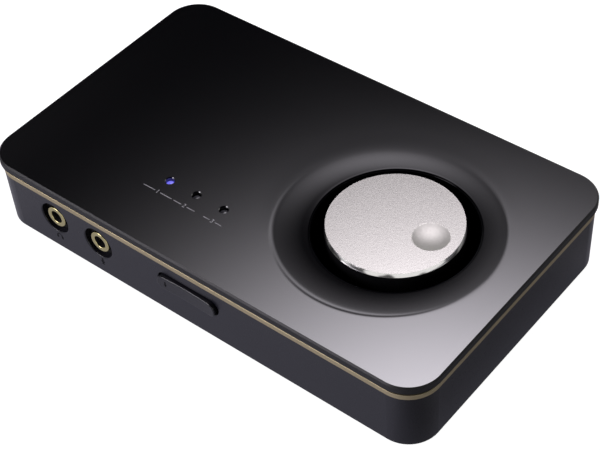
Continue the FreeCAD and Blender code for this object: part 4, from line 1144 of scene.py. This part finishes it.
@dataclass
class CaseScrews:
    """Four screws with cross recesses, seen from below."""

    x: float = POST_X
    y: float = POST_Y
    foot: float = 2.4
    head: float = 2.3
    head_height: float = 1.6
    edge: float = 0.25
    shank: float = PILOT
    length: float = 10.0
    arm: float = 1.25
    arm_width: float = 0.3
    recess: float = 0.9
    steps: int = 40

    def screw(self, bm: BMesh, place: Sequence[float]) -> None:
        """Add one screw, head down.

        Args:
            bm: the mesh.
            place: the middle of its head's outer face.
        """
        one = bmesh.new()
        top = self.head_height + self.length
        spin_profile(one, [
            (self.head - self.edge, 0.0), (self.head, self.edge), (self.head, self.head_height),
            (self.shank, self.head_height), (self.shank, top - self.shank), (0.0, top),
        ], self.steps)
        rim = ring_edges(one, self.head - self.edge, 0.0)
        corners = []
        wide = self.arm_width
        for number in range(4):
            turn = Matrix.Rotation(math.pi / 2 * number, 3, "Z")
            for x, y in ((wide, -wide), (self.arm, -wide), (self.arm, wide)):
                corners.append(one.verts.new(turn @ Vector((x, y, 0.0))))
        cross = [one.edges.new(pair) for pair in zip(corners, corners[1:] + corners[:1])]
        bmesh.ops.triangle_fill(one, edges=rim + cross, use_beauty=True, normal=-UP)
        deep = bmesh.ops.extrude_edge_only(one, edges=cross)["geom"]
        raised = [g for g in deep if isinstance(g, BMVert)]
        bmesh.ops.translate(one, vec=(0.0, 0.0, self.recess), verts=raised)
        floor = [g for g in deep if isinstance(g, BMEdge) and all(v in raised for v in g.verts)]
        bmesh.ops.triangle_fill(one, edges=floor, use_beauty=True, normal=-UP)
        bmesh.ops.translate(one, vec=place, verts=one.verts)
        join(bm, one)

    def build(self) -> None:
        """Build the piece that stands for the CAD screws."""
        bm = bmesh.new()
        for x, y in four_corners(self.x, self.y):
            self.screw(bm, (x, y, self.foot))
        finish_piece("case_cross_screws", bm, [SCREW_STEEL], Body.CASE,
                     ["case_screws"])


@dataclass(frozen=True)
class Softbox:
    """A rectangular lamp: its place and what it aims at in millimetres, its size, and its radiance.

    fade is the share of the half width within which a lamp with a soft edge falls to a third, or zero for
    an even lamp.
    """

    name: str
    place: tuple[float, float, float]
    aim: tuple[float, float, float]
    width: float
    depth: float
    radiance: float
    fade: float = 0.0
    tint: str = "#fbf6ff"

    def soften(self, tree: NodeTree) -> None:
        """Let the lamp fade from its middle to its edge.

        Args:
            tree: the lamp's node tree.
        """
        tree.nodes.clear()
        spot = add_node(tree, "NewGeometry").outputs["Parametric"]
        middle = (0.5, 0.5, 0.0)
        away = add_node(tree, "VectorMath", {"operation": "DISTANCE", 0: spot, 1: middle}).outputs["Value"]
        share = add_node(tree, "Math", {"operation": "DIVIDE", 0: away, 1: self.fade / 2})
        square = add_node(tree, "Math", {"operation": "MULTIPLY", 0: share, 1: share})
        fall = add_node(tree, "Math", {"operation": "POWER", 0: 1 / math.e, 1: square})
        glow = add_node(tree, "Emission", {"Strength": fall})
        add_node(tree, "OutputLight", {"Surface": glow})

    def hang(self) -> None:
        """Hang the lamp."""
        data = bpy.data.lights.new(self.name, "AREA")
        data.shape = "RECTANGLE"
        data.size = self.width * MM
        data.size_y = self.depth * MM
        data.energy = self.radiance * math.pi * data.size * data.size_y
        data.color = linear(self.tint)[:3]
        if self.fade:
            data.use_nodes = True
            self.soften(data.node_tree)
        lamp = bpy.data.objects.new(self.name, data)
        away = Vector(self.place) - Vector(self.aim)
        turn = away.to_track_quat("Z", "Y").to_matrix().to_4x4()
        lamp.matrix_world = Matrix.Translation(Vector(self.place) * MM) @ turn
        bpy.context.scene.collection.objects.link(lamp)


@dataclass
class Studio:
    """Camera, floor and lamps."""

    azimuth: float = 42.278
    elevation: float = 45.197
    roll: float = -4.796
    distance: float = 403.573
    focal_px: float = 1542.14
    target_z: float = 2.0
    shift_x: float = 0.00937
    shift_y: float = 0.00864
    sensor: float = 36.0
    clip: float = 0.01
    room: float = 0.004
    lamps: tuple[Softbox, ...] = (
        Softbox("soft_spot", (-160.0, 300.0, 620.0), (-160.0, 300.0, 0.0), width=920.0, depth=920.0,
                radiance=7.2, fade=0.37),
        Softbox("soft_side", (-600.0, 300.0, 620.0), (-600.0, 300.0, 0.0), width=970.0, depth=970.0,
                radiance=0.055, fade=0.37),
        Softbox("front_fill", (-330.0, -620.0, 330.0), (0.0, 0.0, 10.0), width=340.0, depth=340.0,
                radiance=6.5),
    )
    floor_half: float = 3.0
    floor_tone: str = "#8c8c8c"
    floor_rough: float = 0.9
    floor_seen: float = 1.0
    floor_mirrored: float = 0.36
    floor_tint: str = "#edebff"
    shade_start: float = 60.0
    shade_end: float = 76.0
    shade: float = 0.25
    horizon: float = 0.9
    horizon_top: float = 24.0
    horizon_soft: float = 0.06
    clutter_scale: float = 1.8
    clutter_detail: float = 1.0
    clutter_low: float = 0.42
    clutter_high: float = 0.52
    clutter_dark: float = 0.1

    def camera(self) -> None:
        """Set the camera at the photograph's viewpoint."""
        az = math.radians(self.azimuth)
        el = math.radians(self.elevation)
        roll = math.radians(self.roll)
        back = Vector((math.sin(az) * math.cos(el), -math.cos(az) * math.cos(el), math.sin(el)))
        right = Vector((math.cos(az), math.sin(az), 0.0))
        up = back.cross(right)
        side = right * math.cos(roll) + up * math.sin(roll)
        top = up * math.cos(roll) - right * math.sin(roll)
        data = bpy.data.cameras.new("camera")
        data.sensor_width = self.sensor
        data.lens = self.focal_px * self.sensor / IMAGE_WIDTH
        data.shift_x = self.shift_x
        data.shift_y = self.shift_y
        data.clip_start = self.clip
        camera = bpy.data.objects.new("camera", data)
        turn = Matrix((side, top, back)).transposed().to_4x4()
        place = (back * self.distance + UP * self.target_z) * MM
        camera.matrix_world = Matrix.Translation(place) @ turn
        bpy.context.scene.collection.objects.link(camera)
        bpy.context.scene.camera = camera

    def floor(self) -> None:
        """Lay the pale floor, which looks white and keeps the object's shadow.

        To the right, what it shows to mirrored rays is dimmed, a painted shadow of the object, which the
        right wall mirrors.
        """
        bm = bmesh.new()
        bmesh.ops.create_grid(bm, x_segments=1, y_segments=1, size=self.floor_half)
        mesh = bpy.data.meshes.new("floor")
        bm.to_mesh(mesh)
        bm.free()
        floor = bpy.data.objects.new("floor", mesh)
        bpy.context.scene.collection.objects.link(floor)
        material, tree = new_material("pale_paper_floor")
        path = add_node(tree, "LightPath")
        direct = path.outputs["Is Camera Ray"]
        place = add_node(tree, "TexCoord").outputs["Object"]
        across = add_node(tree, "SeparateXYZ", {0: place}).outputs["X"]
        # Painted shadow: the glow that mirrored rays see fades from shade_start to shade_end millimetres to
        # the right.
        shade = add_node(tree, "MapRange", {
            "Value": across, "From Min": self.shade_start * MM, "From Max": self.shade_end * MM,
            "To Min": self.floor_mirrored, "To Max": self.floor_mirrored * self.shade,
        })
        mirrored = add_node(tree, "Math", {"operation": "MULTIPLY", 0: in_mirror(path), 1: shade})
        seen = add_node(tree, "Math", {"operation": "MULTIPLY_ADD", 0: direct, 1: self.floor_seen,
                                       2: mirrored})
        tone = add_node(tree, "Mix", {"data_type": "RGBA", 0: direct, 6: linear(self.floor_tint),
                                      7: linear(WHITE)})
        paper = add_node(tree, "BsdfPrincipled", {
            "Base Color": linear(self.floor_tone), "Roughness": self.floor_rough,
            "Emission Strength": seen, "Emission Color": tone.outputs[2],
        })
        add_node(tree, "OutputMaterial", {"Surface": paper})
        mesh.materials.append(material)

    def light(self) -> None:
        """Hang the softboxes and dim the room. Metal and glass mirror a pale, cluttered horizon."""
        for lamp in self.lamps:
            lamp.hang()
        world = bpy.data.worlds.new("dim_room")
        world.use_nodes = True
        tree = world.node_tree
        sky = add_node(tree, "TexCoord").outputs["Generated"]
        rise = add_node(tree, "SeparateXYZ", {0: sky}).outputs["Z"]
        top = math.sin(math.radians(self.horizon_top))
        band = add_node(tree, "MapRange", {"Value": rise, "From Min": top, "To Min": self.horizon,
                                           "From Max": top + self.horizon_soft, "To Max": 0.0})
        clutter = add_node(tree, "TexNoise", {"Vector": sky, "Scale": self.clutter_scale,
                                              "Detail": self.clutter_detail})
        patches = add_node(tree, "MapRange", {
            "Value": clutter.outputs["Fac"], "From Min": self.clutter_low, "From Max": self.clutter_high,
            "To Min": self.clutter_dark,
        })
        seen = add_node(tree, "Math", {"operation": "MULTIPLY", 0: band, 1: patches})
        mirrored = in_mirror(add_node(tree, "LightPath"))
        glow = add_node(tree, "Math", {"operation": "MULTIPLY_ADD", 0: seen, 1: mirrored, 2: self.room})
        tree.nodes["Background"].inputs["Color"].default_value = linear(WHITE)
        tree.links.new(glow.outputs[0], tree.nodes["Background"].inputs["Strength"])
        bpy.context.scene.world = world
        bpy.context.scene.view_settings.view_transform = "Standard"

    def build(self) -> None:
        """Set up the whole studio."""
        self.camera()
        self.floor()
        self.light()


def dress_nodes() -> None:
    """Give every CAD node the finish of its slot."""
    for row in frame["record"]["subparts"]:
        node = frame["nodes"][row["node"]]
        material = dressed(NODE_FINISHES[row["material_slot"]])
        node.data.materials.clear()
        node.data.materials.append(material)
        LOG.info("%s: %s", row["node"], material.name)


def main() -> None:
    """Build the pieces in order."""
    logging.basicConfig(level=logging.INFO, format="%(name)s %(message)s")
    dress_nodes()
    TopCover().build()
    TrimRing().build()
    Knob().build()
    for name in ("headphone", "mic"):
        JackBarrel(name + "_jack_barrel", Lie.TO_FRONT).build()
    for name in ("line_in", "front_out", "centre_out", "rear_out"):
        JackBarrel(name + "_jack_barrel", Lie.TO_REAR).build()
    for number, (finish, slot) in enumerate(
        ((PIPE_LIT, "pipe_lit"), (PIPE_DARK, "pipe_dark"), (PIPE_DARK, "pipe_dark")), start=1,
    ):
        LightPipe("light_pipe_%d" % number, finish, slot).build()
    Legends().build()
    for name in ("headphone", "mic"):
        low, high = (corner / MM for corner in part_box(name + "_jack_barrel"))
        Sign(name + "_sign", "lower_case", Body.CASE, "case_black", x=(low.x + high.x) / 2 + SIGN_SHIFT,
             z=SIGN_Z, size=SIGN_SIZE, microphone=name == "mic").build()
    Sign("key_sign", "front_key", Body.KEY, "key_black", x=-6.6, z=13.3, size=1.5, microphone=True).build()
    CaseScrews().build()
    Studio().build()


if __name__ == "__main__":
    main()
